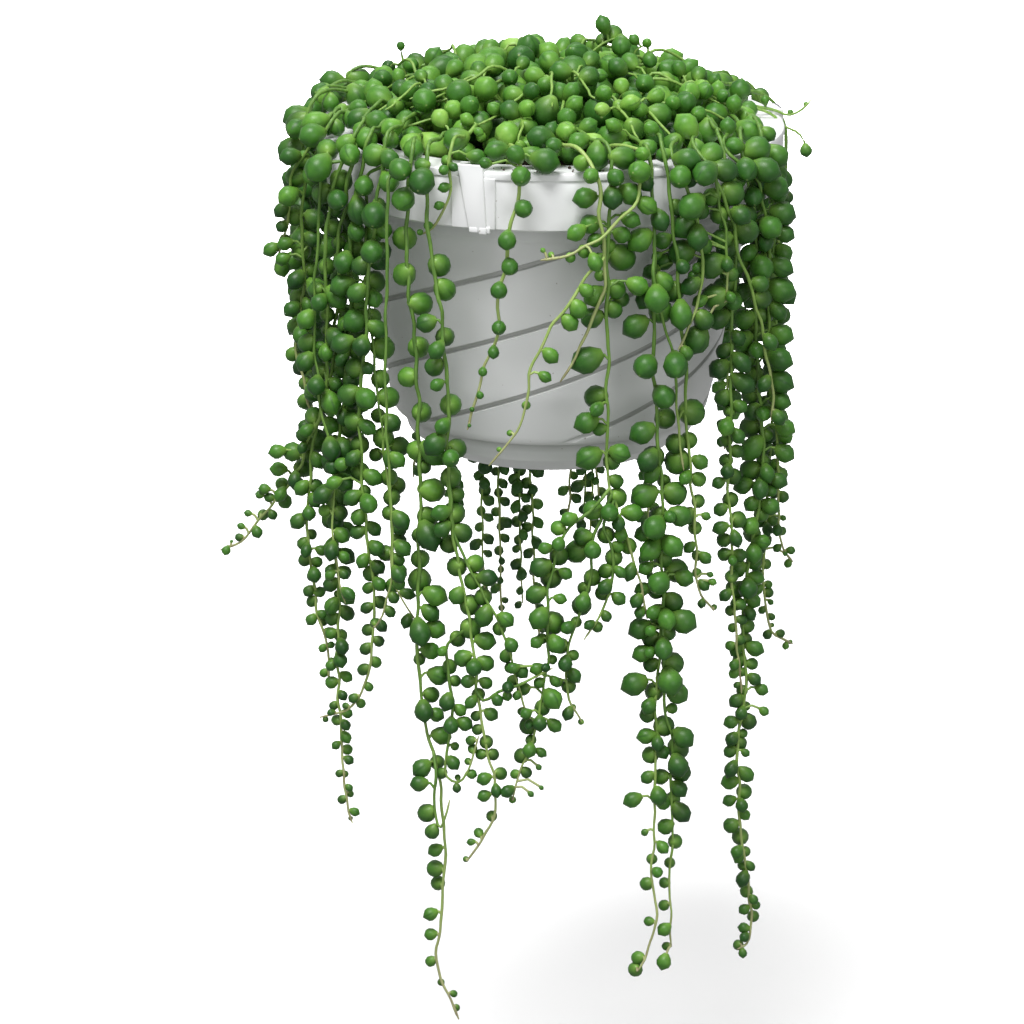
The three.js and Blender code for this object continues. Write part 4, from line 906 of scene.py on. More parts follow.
# %% The measured leaves
# Number of the trailing stem, or 0 for the crown: middle as x y z, diameter, lightness from 0 to 9.
MEASURED = {
    0: "20 14 35 6.5 3, 27 11 27 8 3, 24 19 30 8 2, 20 23 27 5.5 2, 32 14 29 4.5 4, 37 12 28 4 5, "
     "83 10 6 3.5 4, 93 11 1 2.5 4, 99 12 4 2 4, 99 5 -13 5 4, -59 37 22 3.5 3, -76 48 6 10 3, "
     "-66 -10 11 10.5 5, -75 9 7 9.5 3, -93 18 0 8.5 4, -84 -51 0 8.5 5, -66 -38 8 9 3, "
     "-66 -68 2 9 4, -54 -21 16 8.5 4, -48 -42 17 9.5 4, -55 -41 9 8 3, -44 -54 2 10.5 8, "
     "-36 -69 8 9.5 3, -42 -54 13 7 8, -37 -49 15 7.5 7, -27 -50 10 9.5 3, -17 -68 10 9.5 7, "
     "-16 -55 16 8 2, -25 -39 21 9.5 6, -15 -38 18 8 5, -34 42 17 9.5 5, -46 40 17 8 4, "
     "-3 -54 15 11 1, -3 -91 5 10 2, -5 -75 10 9.5 1, -21 -83 7 8 3, -14 -93 8 7 3, -28 -84 5 6 3, "
     "-25 -94 5 4.5 3, -41 -23 19 8 4, -31 -16 19 8.5 4, -22 -4 23 8.5 5, -28 -9 22 6.5 3, "
     "-37 -6 22 7 5, -55 33 15 6.5 4, -50 -7 19 5.5 4, -59 3 17 5.5 5, -8 -49 22 6.5 2, "
     "-1 16 24 8 7, -1 -8 25 8.5 5, -7 -26 23 7.5 6, 10 10 24 9.5 3, 14 -27 23 8 2, 3 -22 24 8 3, "
     "26 -30 20 6.5 7, 35 -26 20 7.5 4, 43 -6 16 9.5 5, 48 44 15 9.5 5, 49 4 20 6 3, "
     "52 -24 16 8.5 6, 50 -36 15 8.5 3, 57 6 17 6.5 3, 63 1 16 5 3, 58 -20 16 7 5, 65 -20 14 5.5 4, "
     "73 5 11 8.5 3, 69 -24 12 6.5 4, 62 -22 7 10 3, 40 -45 12 9.5 3, 49 -63 12 9.5 6, "
     "30 -57 9 9 3, 21 -62 7 10.5 4, 58 -43 5 9.5 4, 5 -63 15 7.5 4, 9 -77 9 7.5 4, 10 -90 4 6.5 6, "
     "16 -84 5 9.5 3, 6 -69 3 9 3, 26 -47 14 8 5, 18 -58 17 5.5 8, 29 -51 18 6.5 7, 74 -41 5 9.5 4, "
     "76 -58 2 10 3, 81 -42 4 6 3, 58 -75 4 9 4, 46 -90 -1 8.5 5, 55 -89 0 9.5 3, 35 -78 7 6.5 4, "
     "40 -81 5 5.5 4, 44 -64 5 8 3, 32 -49 15 6.5 5, 19 -48 21 6.5 5, 7 -44 21 6.5 4, 15 -5 25 7 3, "
     "25 -9 23 7.5 2, 30 0 23 7.5 4, 38 8 22 6 3, 8 -53 18 6.5 5, 39 -39 18 6.5 6, 53 -69 4 7.5 4, "
     "65 -55 10 6.5 3, 67 -62 4 7 4, 22 -67 13 5.5 5, -9 -59 10 7.5 3, -12 -73 6 5 4, "
     "-59 -34 13 7 4, -60 -62 6 6.5 3, -81 -9 4 7.5 4, -81 -36 5 6 3, -81 36 5 7 3, -85 -1 7 7 4, "
     "-48 -81 1 6 3, -31 -51 17 7.5 4, -39 -82 3 4.5 4, -22 -52 16 5.5 5, -32 -61 14 5 6, "
     "13 -68 13 6.5 4, 36 -68 12 6 5, 27 -74 6 5 4, 45 -42 16 6 5, 18 -21 22 5.5 4, "
     "-16 -29 23 6.5 3, -11 -11 25 5.5 3, 3 -40 20 6.5 4, -3 -38 22 6 4",
    9: "-94 -31 -8 7 5, -97 -30 -15 9 4, -100 -37 -21 8 6, -98 -26 -31 8.5 5, -90 -32 -31 8 3, "
     "-96 -26 -45 8 6, -97 -24 -64 8.5 3, -102 -31 -41 5.5 5, -103 -31 -47 5.5 5, "
     "-99 -26 -75 6.5 4, -100 -27 -86 6 5, -95 -29 -97 6 4, -86 -29 -43 9 5, -92 -25 -53 7 4",
    10: "-79 -54 -11 9 4, -80 -64 -16 8 2, -86 -53 -16 8.5 3, -82 -54 -29 7 3, -85 -54 -44 7 4, "
     "-89 -51 -54 7 3, -85 -53 -63 6 3, -85 -50 -70 5.5 2, -88 -54 -75 4 5, -88 -47 -87 7.5 3, "
     "-82 -55 -90 5.5 3, -84 -52 -107 6.5 5, -91 -44 -106 8 4, -90 -40 -117 9.5 3, "
     "-96 -33 -130 8 3, -100 -38 -122 8 4, -106 -41 -121 6 5, -106 -35 -130 6 5, "
     "-105 -29 -138 5.5 4, -112 -29 -140 4.5 4, -114 -27 -143 3.5 4, -119 -23 -152 3 4, "
     "-122 -21 -158 3 4, -126 -19 -165 1.5 4",
    11: "-87 -59 -139 5 6, -91 -44 -134 6 3, -93 -43 -154 4.5 3, -89 -45 -160 4.5 5, "
     "-91 -44 -165 4.5 5, -85 -65 -163 4 5, -90 -45 -177 4.5 4, -89 -46 -186 4 4, -86 -45 -199 3 4",
    12: "-83 -50 -176 3 5, -82 -48 -194 5.5 5, -84 -49 -229 4.5 4, -80 -50 -241 4.5 5, "
     "-81 -51 -251 3 4, -79 -52 -259 3 4, -79 -53 -269 2 3",
    13: "-66 -76 -19 10 2, -70 -67 -10 7.5 4, -74 -56 -37 9 3, -67 -76 -33 9 3, -67 -58 -49 9 3, "
     "-79 -63 -49 8.5 3, -74 -66 -62 9.5 3, -68 -57 -63 7.5 5, -64 -60 -74 9.5 5, -79 -69 -70 8 2, "
     "-74 -63 -81 8.5 3, -65 -61 -86 7.5 6, -77 -65 -91 8.5 3, -70 -71 -91 8.5 5, "
     "-62 -62 -93 8.5 5, -66 -59 -101 6 5, -75 -63 -102 8 4, -64 -62 -109 8.5 6, "
     "-73 -61 -112 7.5 2, -58 -60 -113 8 1, -73 -63 -122 7.5 3, -62 -64 -124 7 5, -61 -64 -132 7 4, "
     "-62 -65 -138 6 5, -76 -68 -131 6.5 3, -80 -67 -118 5.5 5, -83 -68 -125 5.5 6, "
     "-67 -61 -116 5.5 3, -59 -59 -129 7 2",
    14: "-56 -87 1 8.5 3, -55 -84 -11 9 5, -55 -70 -29 9.5 6, -55 -77 -41 9 6, -49 -78 -52 9 5, "
     "-50 -77 -69 8.5 6, -54 -79 -80 8 6, -49 -78 -94 8 5, -51 -78 -109 8 6, -45 -80 -124 9.5 7, "
     "-47 -79 -135 8.5 4, -50 -78 -152 7.5 5, -44 -83 -165 8.5 6, -46 -83 -172 7 3, "
     "-44 -82 -179 7.5 5, -46 -84 -187 7 5, -43 -84 -197 8 4, -46 -81 -206 6.5 4, -44 -84 -213 6 5, "
     "-42 -83 -222 7.5 5, -44 -83 -233 6 4, -50 -87 -234 7.5 3, -51 -90 -239 6.5 2, "
     "-48 -88 -252 7.5 3, -46 -90 -259 6 3, -45 -87 -268 5.5 4, -45 -84 -277 7 4, -44 -82 -284 6 4, "
     "-47 -87 -295 5.5 5, -47 -86 -304 5 5, -47 -85 -316 4.5 5, -43 -85 -325 3 3, -38 -87 -329 3 3, "
     "-37 -87 -335 3 3",
    15: "-48 -89 -3 10 2, -42 -83 -36 9 3, -40 -84 -45 8.5 5, -47 -87 -57 7.5 2, -40 -84 -63 7.5 2, "
     "-43 -92 -66 6.5 3, -44 -86 -74 7.5 2, -43 -93 -79 5 4, -38 -85 -89 8.5 5, -41 -93 -95 6 4, "
     "-38 -94 -107 7 4, -36 -82 -107 8 2, -38 -86 -117 8.5 3, -36 -85 -124 6.5 3, -37 -86 -131 9 3, "
     "-42 -92 -129 6.5 4, -39 -84 -144 7.5 2, -36 -87 -152 8 3, -29 -89 -150 7 6, -30 -89 -157 7 4, "
     "-26 -90 -163 7 4, -31 -88 -167 8.5 3, -31 -89 -176 8.5 3, -20 -92 -175 5.5 4, "
     "-25 -92 -180 7.5 4, -34 -92 -187 7 4, -25 -92 -189 6.5 4, -16 -94 -190 4.5 4, "
     "-32 -93 -196 5.5 3, -25 -92 -197 5 4, -17 -98 -200 4 4, -28 -91 -202 5.5 4, "
     "-23 -94 -209 5.5 3, -33 -91 -214 6 4, -31 -93 -220 4 3, -25 -92 -221 5.5 3, "
     "-37 -89 -224 3.5 4, -27 -92 -226 4.5 4, -26 -95 -235 5.5 4, -26 -95 -242 5 4, "
     "-23 -91 -252 4.5 4, -28 -91 -259 4 5, -31 -93 -262 3 4, -33 -91 -270 2.5 3, "
     "-36 -91 -236 2.5 4, -32 -92 -229 3 4",
    16: "-40 -88 1 4 4, -40 -86 -6 4 4, -42 -85 -13 3.5 5, -46 -83 -21 3.5 5, -49 -81 -24 2.5 6",
    17: "-12 -98 1 7.5 4, -11 -98 -11 7 4, -17 -98 -23 7 4, -16 -97 -33 6.5 4, -20 -97 -42 6.5 4, "
     "-20 -97 -56 5.5 4, -22 -95 -66 4.5 4, -26 -93 -74 3.5 4, -27 -93 -83 3 4, -30 -91 -89 2 4, "
     "-31 -92 -95 1.5 4",
    18: "12 -101 -41 5.5 6, 9 -101 -48 7 6, 6 -101 -53 6.5 6, -1 -103 -65 6 6, -3 -103 -73 4.5 5, "
     "-10 -99 -85 3.5 6, -16 -98 -96 2.5 6, -20 -99 -102 2 7, 17 -94 -37 4.5 6",
    19: "11 -94 -8 8 4, 13 -93 -18 7.5 5, 8 -98 -20 6.5 6, 15 -93 -24 5.5 5, 20 -90 -27 6 6, "
     "28 -92 -7 8.5 4, 34 -93 -11 7 6, 28 -94 -16 6.5 5, 25 -93 -22 6.5 5, 25 -87 -32 10.5 3, "
     "23 -91 -43 7.5 5, 31 -94 -41 7.5 6, 14 -91 -54 8 3, 25 -86 -48 6.5 3, 12 -95 -69 10.5 3, "
     "16 -88 -85 9 3, 16 -98 -87 5.5 4, 12 -95 -93 8.5 4, 17 -93 -96 5.5 4, 13 -94 -107 9.5 4, "
     "25 -94 -105 7.5 5, 24 -89 -124 8 5, 15 -92 -128 8 5, 21 -98 -127 7 4, 30 -92 -129 7 5, "
     "20 -91 -138 7 4, 11 -93 -138 7 4, 9 -90 -145 9 3, 15 -91 -155 7 4, 23 -91 -147 7 4, "
     "20 -92 -152 6 4, 2 -95 -134 6 6, -3 -98 -141 5 5, 12 -89 -160 5.5 4, 5 -98 -151 5 5, "
     "3 -98 -161 4.5 5, 25 -95 -162 5.5 4, 17 -93 -174 4.5 4, 9 -93 -172 4.5 4, 8 -94 -185 4.5 4, "
     "1 -98 -212 5.5 4, 1 -98 -194 4 5, 8 -94 -206 2.5 5, 11 -94 -212 2.5 4, 0 -96 -186 4 5, "
     "-4 -95 -178 4.5 4, -6 -98 -189 5 5, -6 -99 -178 5 5, -4 -98 -223 4 4, -5 -98 -229 2.5 4, "
     "-4 -99 -237 2 4, -14 -95 -233 4 5, -15 -94 -244 3 5, -8 -98 -240 2.5 4, -5 -97 -195 4.5 4, "
     "-11 -93 -199 5.5 3, -8 -95 -219 4.5 4, -10 -101 -206 4.5 4, -15 -100 -188 4.5 4, 2 -94 -196 4 5",
    20: "11 -98 -27 5 6, 6 -99 -29 4 6, 15 -103 -30 6 6, -1 -99 -28 2.5 7, -4 -100 -26 2 7",
    21: "31 -95 2 8.5 5, 30 -88 -58 9.5 3, 34 -93 -72 9.5 3, 45 -95 -71 9.5 3, 41 -92 -84 9 3, "
     "52 -78 -94 10.5 3, 33 -88 -99 9 3, 42 -79 -96 8.5 2, 47 -79 -113 10.5 4, 46 -82 -105 8 2, "
     "34 -87 -124 10 4, 46 -84 -124 9.5 3, 42 -78 -121 5.5 4, 48 -87 -132 8.5 4, 44 -91 -131 5 4, "
     "38 -92 -135 9.5 4, 45 -90 -143 8.5 5, 34 -87 -139 6.5 5, 35 -89 -152 5.5 5, 40 -92 -157 9 4, "
     "34 -87 -161 5.5 5, 47 -80 -156 9.5 2, 50 -86 -157 7 4, 50 -87 -174 10 3, 33 -87 -177 8.5 3, "
     "38 -91 -169 5.5 5, 37 -92 -176 4.5 5, 44 -83 -180 6.5 3, 37 -91 -185 4.5 5, 34 -87 -187 7 4, "
     "46 -84 -192 9 3, 31 -88 -199 9.5 3, 39 -83 -204 7.5 3, 46 -85 -210 4.5 4, 43 -83 -218 8.5 3, "
     "36 -86 -221 6.5 5, 38 -83 -230 7 5, 42 -83 -239 6.5 4, 31 -87 -247 6.5 4, 47 -81 -249 6 5, "
     "44 -85 -259 6.5 5, 48 -83 -266 6 4, 43 -89 -266 5 5, 36 -86 -261 3 4, 39 -84 -273 4.5 4, "
     "46 -83 -275 4.5 4, 41 -90 -276 4.5 5, 37 -85 -283 5.5 4, 44 -84 -283 4.5 4, "
     "44 -83 -293 4.5 4, 44 -86 -302 5.5 5, 38 -87 -298 4 4, 45 -84 -310 3.5 3, 34 -86 -314 5.5 5, "
     "33 -86 -319 6 4, 44 -88 -315 6 5",
    22: "51 -78 -105 7 5, 55 -79 -120 6 6, 55 -78 -129 5.5 4, 58 -81 -134 3.5 5, 54 -77 -140 5.5 5, "
     "55 -77 -151 4.5 5, 58 -80 -151 5 4, 55 -77 -158 4 5, 60 -79 -158 2.5 5, 61 -79 -161 3 6",
    24: "50 -91 -12 10 4, 48 -83 -21 10 3, 58 -80 -11 7 5, 61 -78 -18 7.5 4, 62 -76 -28 8 3, "
     "47 -80 -32 10 3, 58 -79 -37 10.5 2, 60 -76 -50 10.5 3, 53 -82 -65 10.5 2, 40 -82 -27 6.5 4, "
     "38 -81 -33 3.5 5, 53 -83 -37 4 5, 52 -80 -41 5 5, 54 -82 -50 5 6, 41 -78 -36 6.5 3, "
     "36 -81 -39 6 3",
    25: "67 -66 -97 5.5 3, 66 -65 -109 5.5 3, 66 -65 -117 5.5 3, 70 -66 -113 5.5 3, "
     "63 -68 -125 5 3, 68 -64 -133 6.5 3, 64 -67 -136 5.5 3, 71 -64 -141 7 3, 64 -68 -143 5.5 3, "
     "66 -64 -155 5.5 3, 72 -65 -155 5.5 3, 69 -64 -164 5.5 3, 69 -62 -169 4.5 4, "
     "69 -61 -179 4.5 3, 70 -61 -186 4 4, 69 -62 -193 4 4, 74 -59 -205 4 4",
    27: "71 -71 -3 9 3, 83 -61 -12 9.5 3, 86 -60 -22 9.5 2, 81 -66 -26 9 4, 87 -60 -30 7 3, "
     "74 -67 -14 7.5 2, 69 -59 -42 7.5 3, 78 -64 -42 9.5 4, 86 -59 -43 8 3, 86 -58 -52 10 4, "
     "71 -58 -53 7.5 3, 72 -56 -64 8.5 4, 80 -53 -63 7.5 3, 87 -56 -70 8.5 5, 86 -59 -79 9.5 3, "
     "77 -61 -75 6.5 4, 77 -52 -87 8 3, 87 -58 -88 9 3, 87 -57 -96 7.5 4, 80 -60 -100 6 5, "
     "89 -56 -107 7.5 5, 82 -51 -111 6 4, 89 -56 -117 7.5 4, 81 -52 -121 5.5 4, 87 -56 -128 6.5 3, "
     "84 -56 -132 5 4, 84 -57 -138 7 4, 77 -48 -71 8.5 2, 76 -49 -96 7.5 2, 76 -48 -109 8.5 2, "
     "76 -52 -125 8.5 3, 73 -56 -130 7 3, 81 -58 -152 6 5, 79 -57 -167 6 5, 78 -58 -176 6 5, "
     "76 -56 -187 6 4, 79 -60 -195 6.5 4, 78 -58 -202 5 4, 82 -60 -212 5 5, 83 -60 -221 4 5, "
     "75 -58 -231 4 4, 76 -57 -220 4 4, 76 -61 -238 3.5 4, 70 -59 -251 6.5 4, 76 -57 -256 6.5 4, "
     "70 -59 -259 5 4, 71 -58 -270 6.5 3, 75 -55 -276 7 3, 77 -56 -282 4.5 4, 76 -56 -288 4 4, "
     "78 -54 -300 5.5 4, 77 -56 -307 4.5 4, 77 -56 -315 4.5 4, 75 -57 -322 4.5 3",
    28: "86 -38 -150 5 3, 84 -38 -168 4.5 4, 85 -39 -176 3.5 4, 86 -40 -183 2.5 4, "
     "90 -41 -148 2.5 5, 91 -43 -162 2 5, 95 -28 -204 2 4, 87 -36 -194 2 4",
}

# %% Hanging a leaf on a stem
leaves = {stem["node"]: [] for stem in stems}
stalks = []


def leaf_count():
    return sum(len(found) for found in leaves.values())


def lightness(place, number, light):
    """How light a leaf is: as measured, or in soft patches and different from its neighbours."""
    # painted light and shade: crown leaves lighter, as lit from above; hanging ones at the back darker
    hanging, shaded_at_back = place.z <= 0, place.y > 60
    if light is not None:
        return 0.09 * light + (0.1 if hanging else 0.2)
    shade = 0.56 if not hanging else 0.22 if shaded_at_back else 0.33
    return min(1, max(0, shade + noise.noise(place / 26) * 0.2 + 0.5 * (draw(LOOK_DRAWS, number, 1) - 0.5)))


def add_leaf(node, place, foot, radius, light=None):
    """Adds a leaf that points away from its foot on a stem and hangs a little, with a stalk between them."""
    number = leaf_count()
    hanging = Vector((0, 0, -0.5 if foot.z < 0 else 0))
    pointing = ((place - foot).normalized() + hanging).normalized()
    more = 0.26 if light is None else 0.14  # a leaf's length is 0.96 of its width, or up to this more
    leaves[node].append({
        "place": place, "pointing": pointing, "radius": radius, "tint_and_shade": lightness(place, number, light),
        "roll": 6.28 * draw(LOOK_DRAWS, number, 2), "long": 0.96 + more * draw(LOOK_DRAWS, number, 3) ** 2,
    })
    put_ball(place, radius, ("leaf", number))
    base = place - pointing * radius * 1.08  # just inside the leaf's lower point
    reach = (base - foot).length
    if reach > 0.9:
        arch = foot.lerp(base, 0.5) + Vector((0, 0, 0.2 * reach))
        stalks.append((node, [foot, arch, base], [0.5] * 3))


for host, text in MEASURED.items():
    node = strand(host) if host else "crown"
    spots = [point for stem in stems if stem["node"] == node or not host for point in stem["route"]]
    for row in text.split(","):
        x, y, z, diameter, light = (float(number) for number in row.split())
        place = Vector((x, y, z))
        add_leaf(node, place, spots[nearest(place, spots)], diameter / 2, light)
measured = leaf_count()
print(len(grid), "cells,", measured, "measured leaves,", len(stalks), "on stalks")

# %% [markdown]
# ### Leaves along a stem
#
# The other leaves sit left and right of their stem in turn, each turned a little further round it. They
# keep their size for most of its length and are small only near the tip, where they also stand further
# apart. None of them may stand before a measured leaf, as seen from the front.

# %% Which leaves stand before others
PITCH = math.radians(18.29)  # how far the camera looks down
SIGHT = Vector((0, math.cos(PITCH), -math.sin(PITCH)))
COVER = 0.72  # share of their radii within which one leaf covers another
columns = {}  # of measured leaves that lie behind each other, as the camera sees them


def column_of(place):
    across = place - SIGHT * place.dot(SIGHT)
    return round(across.x / CELL), round(across.z / CELL)


for found in leaves.values():
    for leaf in found:
        columns.setdefault(column_of(leaf["place"]), []).append((leaf["place"], leaf["radius"]))


def hides_measured(place, radius):
    """True if a ball covers a measured leaf that lies further along the line of sight."""
    column, row = column_of(place)
    for x in NEXT_CELLS:
        for z in NEXT_CELLS:
            for spot, size in columns.get((column + x, row + z), ()):
                gap = spot - place
                ahead = gap.dot(SIGHT)
                if ahead > 0 and (gap - SIGHT * ahead).length < COVER * (radius + size):
                    return True
    return False


# %% Leaves along a stem
FRONT = Vector((0, -1, 0))
FIRST_LEAF = 9.0  # its distance from the stem's start
TRIES = 8  # places round the stem at which a leaf is tried; it is smaller from the sixth on
PRESS = 0.92  # how close leaves come to each other, as a share of their radii
RIGHT_END, LOW_RIGHT_END = 89, 97  # where the plant's outline ends at the right, in the crown and below
# heights between which a trailing stem has no other leaves than the measured ones
BARE = {"strand_14": [(-100, 0), (-400, -225)], "strand_15": [(-100, 0), (-400, -240)],
        "strand_16": [(-400, 0)], "strand_17": [(-400, 0)], "strand_18": [(-400, 0)],
        "strand_19": [(-100, -50)], "strand_20": [(-400, 0)], "strand_21": [(-100, -50), (-400, -255)],
        "strand_22": [(-100, -50)]}
RIGHT_ONLY = "strand_14"  # its other leaves all hang on its right


def frame_at(route, distance):
    """The point and the direction of a route at a distance from its start."""
    spot = distance / ROUTE_STEP
    first = min(int(spot), len(route) - 2)
    way = (route[first + 1] - route[first]).normalized()
    return route[first].lerp(route[first + 1], min(1, spot - first)), way


def leaf_sides(foot, way):
    """The two directions in which leaves leave a stem: sideways, and away from what it lies against."""
    outward = Vector((foot.x, foot.y, 0)).normalized() + 1.2 * FRONT
    facing = outward if abs(way.z) > 0.6 else Vector((0, 0, 1))
    side = way.cross(facing).normalized()
    return side, side.cross(way).normalized()


def fits(place, radius, owner):
    """True if a leaf keeps inside the plant's outline, off pot and neighbours, and behind the measured."""
    height = place.z * math.cos(PITCH) + place.y * math.sin(PITCH)  # as seen in the picture
    return (place.z + radius < mound_top(place) + 2
            and place.x + radius < (RIGHT_END if height > -12 else LOW_RIGHT_END)
            and clear_of_pot(place, radius) and room_for(place, radius, owner, PRESS)
            and not hides_measured(place, radius))


def grow_leaves(number, stem):
    """Sets leaves along a stem, as far as they find room."""
    node, route, (size, tip_size, fade) = stem["node"], stem["route"], stem["leaf"]
    length = (len(route) - 1) * ROUTE_STEP
    distance, slot = FIRST_LEAF, 0
    while distance < length:
        share = distance / length
        foot, way = frame_at(route, distance)
        diameter = (size + (tip_size - size) * share ** fade) * (0.78 + 0.4 * draw(number, slot, 0))
        side, across = leaf_sides(foot, way)
        bias = -0.25 if foot.z < -2 else 0.5
        lean = 0.1 + 0.8 * draw(number, slot, 2)
        bare = any(low < foot.z < high for low, high in BARE.get(node, ()))
        for attempt in range(0 if bare else TRIES):
            step = math.pi * attempt / 4 * (1 if attempt % 2 else -1)
            turn = math.pi * slot + step + 2.2 * (draw(number, slot, 1) - 0.5)
            pointing = side * math.cos(turn) + across * (math.sin(turn) + bias) + way * lean
            radius = diameter / 2 * (1 if attempt < 5 else 0.8)
            place = foot + pointing.normalized() * (radius * 1.22 + 0.3)
            if node == RIGHT_ONLY and foot.z < 0 and pointing.x < 0:
                continue
            if fits(place, radius, number):
                add_leaf(node, place, foot, radius)
                break
        distance += stem["pitch"] * (1 + 0.8 * share ** 5) * (0.6 + 0.8 * draw(number, slot, 3))
        slot += 1


for number, stem in enumerate(stems):
    grow_leaves(number, stem)
print(leaf_count() - measured, "more leaves along the stems")

# %% [markdown]
# ### Filling the crown
#
# The rest of the mound is filled in layers, one below the other, and a last one near the top. Candidate
# places lie on a golden-angle spiral, which covers a disc evenly. A leaf is put where there is room and a
# stem within reach. It points away from that stem and hangs on it by a stalk.

# %% Filling the crown
stem_spots = [(point, place / len(stem["route"]))
              for stem in stems for place, point in enumerate(stem["route"])]
stem_tree = kdtree.KDTree(len(stem_spots))
for index, (point, _) in enumerate(stem_spots):
    stem_tree.insert(point, index)
stem_tree.balance()
LAYERS = (1.0, 4.0, 9.0, 14.0, 2.5)  # depths under the mound's top
CANDIDATES = 700  # in a layer
before = leaf_count()
for layer, depth in enumerate(LAYERS):
    for number in range(CANDIDATES):
        azimuth = GOLDEN_ANGLE * number + 40 * layer
        radius = (85 - 5 * math.sin(math.radians(azimuth))) * math.sqrt((number + 0.5) / CANDIDATES)
        by_front_rim = radius > 74 and -14 < near_turn(azimuth) < 13
        size = 4.6 + 1.7 * draw(FILLING_DRAWS + layer, number, 0)
        size *= 0.65 if by_front_rim else 1 if radius < 80 else 0.92
        spot = polar(azimuth, radius, 0)
        top = mound_top(spot) + 1.5 * noise.noise(spot / 14) - depth
        spot.z = max(top - size, SOIL_TOP + size if radius < MOUTH - size else size + 0.5)
        foot, _, distance = stem_tree.find(spot)
        if size + 0.8 < distance < size + 14 and fits(spot, size, None):
            add_leaf("crown", spot, foot, size)
print(leaf_count() - before, "leaves in the crown's filling,", len(stalks), "stalks in all")

# %% [markdown]
# ## One leaf
#
# All leaves are copies of one. It starts as a sphere of twelve segments and six rings, which is as few
# faces as still look round at this size. The lowest point is drawn down into a stalk, the widest ring sits
# a little low, and the top narrows to a small point. The sphere's own UV map then runs from stalk to point.

# %% Modelling the leaf
bpy.ops.mesh.primitive_uv_sphere_add(segments=12, ring_count=6, radius=1)
leaf = bpy.context.active_object
# height of a ring before, then its radius and its height after
LEAF_RINGS = [(1.0, 0, 1.17), (0.866, 0.36, 0.92), (0.5, 0.85, 0.53), (0.0, 1.0, -0.02),
              (-0.5, 0.80, -0.62), (-0.866, 0.32, -0.98), (-1.0, 0, -1.24)]
for before, radius, after in LEAF_RINGS:
    pick(leaf, lambda place: abs(place.z - before) < 0.03)
    if radius:
        grown = radius / math.sqrt(1 - before * before)
        bpy.ops.transform.resize(value=(grown, grown, 1), center_override=(0, 0, 0))
    bpy.ops.transform.translate(value=(0, 0, after - before))
only(leaf)
bpy.ops.object.shade_smooth()
leaf.data.materials.append(leaf_skin)
print("one leaf:", len(leaf.data.polygons), "faces, UV along from",
      min(round(loop.uv.y, 2) for loop in leaf.data.uv_layers[0].data))

# %% Copying the leaf to its places
UP = Vector((0, 0, 1))
bunches = {}
for node, found in leaves.items():
    copies = []
    for each in found:
        size = each["radius"] * MM
        turn = UP.rotation_difference(each["pointing"]).to_matrix().to_4x4()
        shape = Matrix.Diagonal((size, size, size * each["long"], 1))
        copy = copy_of(leaf, Matrix.Translation(each["place"] * MM) @ turn
                       @ Matrix.Rotation(each["roll"], 4, "Z") @ shape)
        write_on(copy, "tint_and_shade", [each["tint_and_shade"]] * len(copy.data.vertices))
        copies.append(copy)
    bunches[node] = join(copies, node + "_leaves")
bpy.data.objects.remove(leaf)
for node, bunch in bunches.items():
    stand_for(bunch, "leaf", node)

# %% [markdown]
# ## The stems themselves
#
# A stem is a curve with a round section. The curve's points carry the thickness, which falls towards the
# tip and varies a little on the way; turned into a mesh it keeps its closed ends.

# %% Tubes along the routes
def tubes(name, lines):
    """One mesh of round tubes, each along points with a radius in millimetres at every point."""
    curve = bpy.data.curves.new(name, "CURVE")
    curve.dimensions, curve.bevel_depth, curve.bevel_resolution = "3D", MM, 1
    curve.use_fill_caps = True
    for points, radii in lines:
        spline = curve.splines.new("POLY")
        spline.points.add(len(points) - 1)
        for knot, point, radius in zip(spline.points, points, radii):
            knot.co = (*(point * MM), 1)
            knot.radius = radius
    only(new_object(name, curve))
    bpy.ops.object.convert(target="MESH")
    bpy.ops.object.shade_smooth()
    return bpy.context.active_object


lines = {}
for number, stem in enumerate(stems):
    count = len(stem["route"])
    radii = []
    for place in range(count):
        tapered = stem["thick"] * (0.79 - 0.31 * (place / count) ** 1.6)
        radii.append(tapered * (0.92 + 0.2 * draw(number, place // 2, 5)))
    radii[-1] *= 0.5
    lines.setdefault(stem["node"], []).append((stem["route"], radii))
for node, points, radii in stalks:
    lines[node].append((points, radii))

# %% Stems as pieces, with their dryness written on them
YOUNG = {"crown": 0.3, "strand_16": 0.25, "strand_17": 0.5, "strand_18": 0.55, "strand_20": 0.45}
for node, routes in lines.items():
    tube = tubes(node + "_stems", routes)
    young = YOUNG.get(node, 0.1)
    aged = 0.1 if node == "crown" else 0.9 - young
    shares = [stem_spots[stem_tree.find(vertex.co / MM)[1]][1] for vertex in tube.data.vertices]
    write_on(tube, "dry", [young + aged * share ** 3 for share in shares])
    tube.data.materials.append(stem_skin)
    stand_for(tube, "stem", node)

# %% [markdown]
# ## The stage, the lights and the camera
#
# The pot hangs in front of a plain pale sweep: a floor below the longest stem that curves up into a wall,
# so that no line shows where they meet. A large soft lamp high in front and a weak one low on the right
# give the light of a studio; a third lights only the floor behind the plant. The camera stands 1.5 m away
# and looks down by 18 degrees, as measured from the ellipse of the rim.

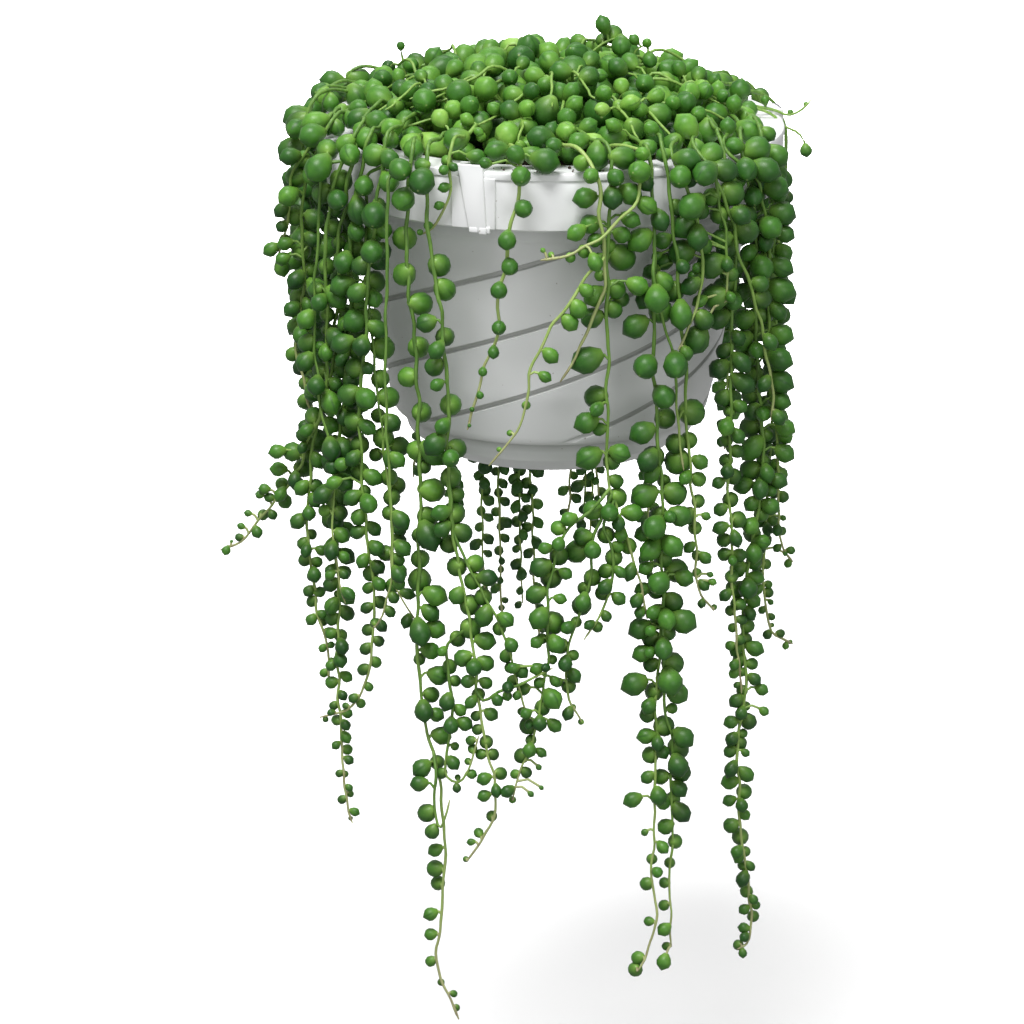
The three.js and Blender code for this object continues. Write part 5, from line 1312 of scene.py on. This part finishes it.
# %% Floor and backdrop
bpy.ops.mesh.primitive_plane_add(size=1, location=(0, 0, -0.42))
sweep = bpy.context.active_object
sweep.name = "studio_sweep"
sweep.scale = (9, 7, 1)
bpy.ops.object.transform_apply(location=True, scale=True)
pick(sweep, lambda place: place.y > 3)
bpy.ops.mesh.extrude_region_move(TRANSFORM_OT_translate={"value": (0, 1.2, 4.5)})
apply_modifier(sweep, "BEVEL", width=1.0, segments=10, affect="EDGES")
bpy.ops.object.shade_smooth()
paper, add, shader = finish_named("pale_paper")
fill_in(shader, {"Base Color": (0.93, 0.93, 0.93, 1), "Roughness": 0.9})
sweep.data.materials.append(paper)
sweep.visible_diffuse = sweep.visible_glossy = False  # it throws no light up at the pot
print("sweep:", len(sweep.data.polygons), "faces")


# %% Lights
def softbox(name, place, target, size, power):
    """A round lamp of a size in metres and a power in watts that faces a target."""
    lamp = bpy.data.lights.new(name, "AREA")
    lamp.shape, lamp.size, lamp.energy = "DISK", size, power
    holder = new_object(name, lamp)
    holder.location = place
    holder.rotation_euler = (Vector(target) - Vector(place)).to_track_quat("-Z", "Y").to_euler()
    return lamp


softbox("key_softbox", (-0.30, -0.68, 1.45), (0, 0, -0.1), 0.9, 36)
softbox("fill_softbox", (0.9, -1.9, 0.4), (0, 0, -0.15), 1.2, 10)
floor_lamp = softbox("floor_softbox", (0, 2.3, 1.7), (0, 2.2, -0.42), 2.4, 75)
floor_lamp.spread = math.radians(90)
world = bpy.data.worlds.new("studio_air")
bpy.context.scene.world = world
world.use_nodes = True
fill_in(world.node_tree.nodes["Background"], {"Color": (1, 1, 1, 1), "Strength": 0.39})
bpy.context.scene.view_settings.view_transform = "Standard"

# %% Camera
DISTANCE = 1.5
FOCAL_PIXELS, PICTURE_PIXELS = 3756, 1024  # the fitted focal length and the picture's width
lens = bpy.data.cameras.new("camera")
lens.sensor_width, lens.lens = 36, 36 * FOCAL_PIXELS / PICTURE_PIXELS
camera = new_object("camera", lens)
aim = Vector((-0.0152, 0, -0.1591))
camera.location = aim + Vector((0, -DISTANCE * math.cos(PITCH), DISTANCE * math.sin(PITCH)))
camera.rotation_euler = (math.pi / 2 - PITCH, 0, 0)
bpy.context.scene.camera = camera
print("camera at", [round(value, 3) for value in camera.location])
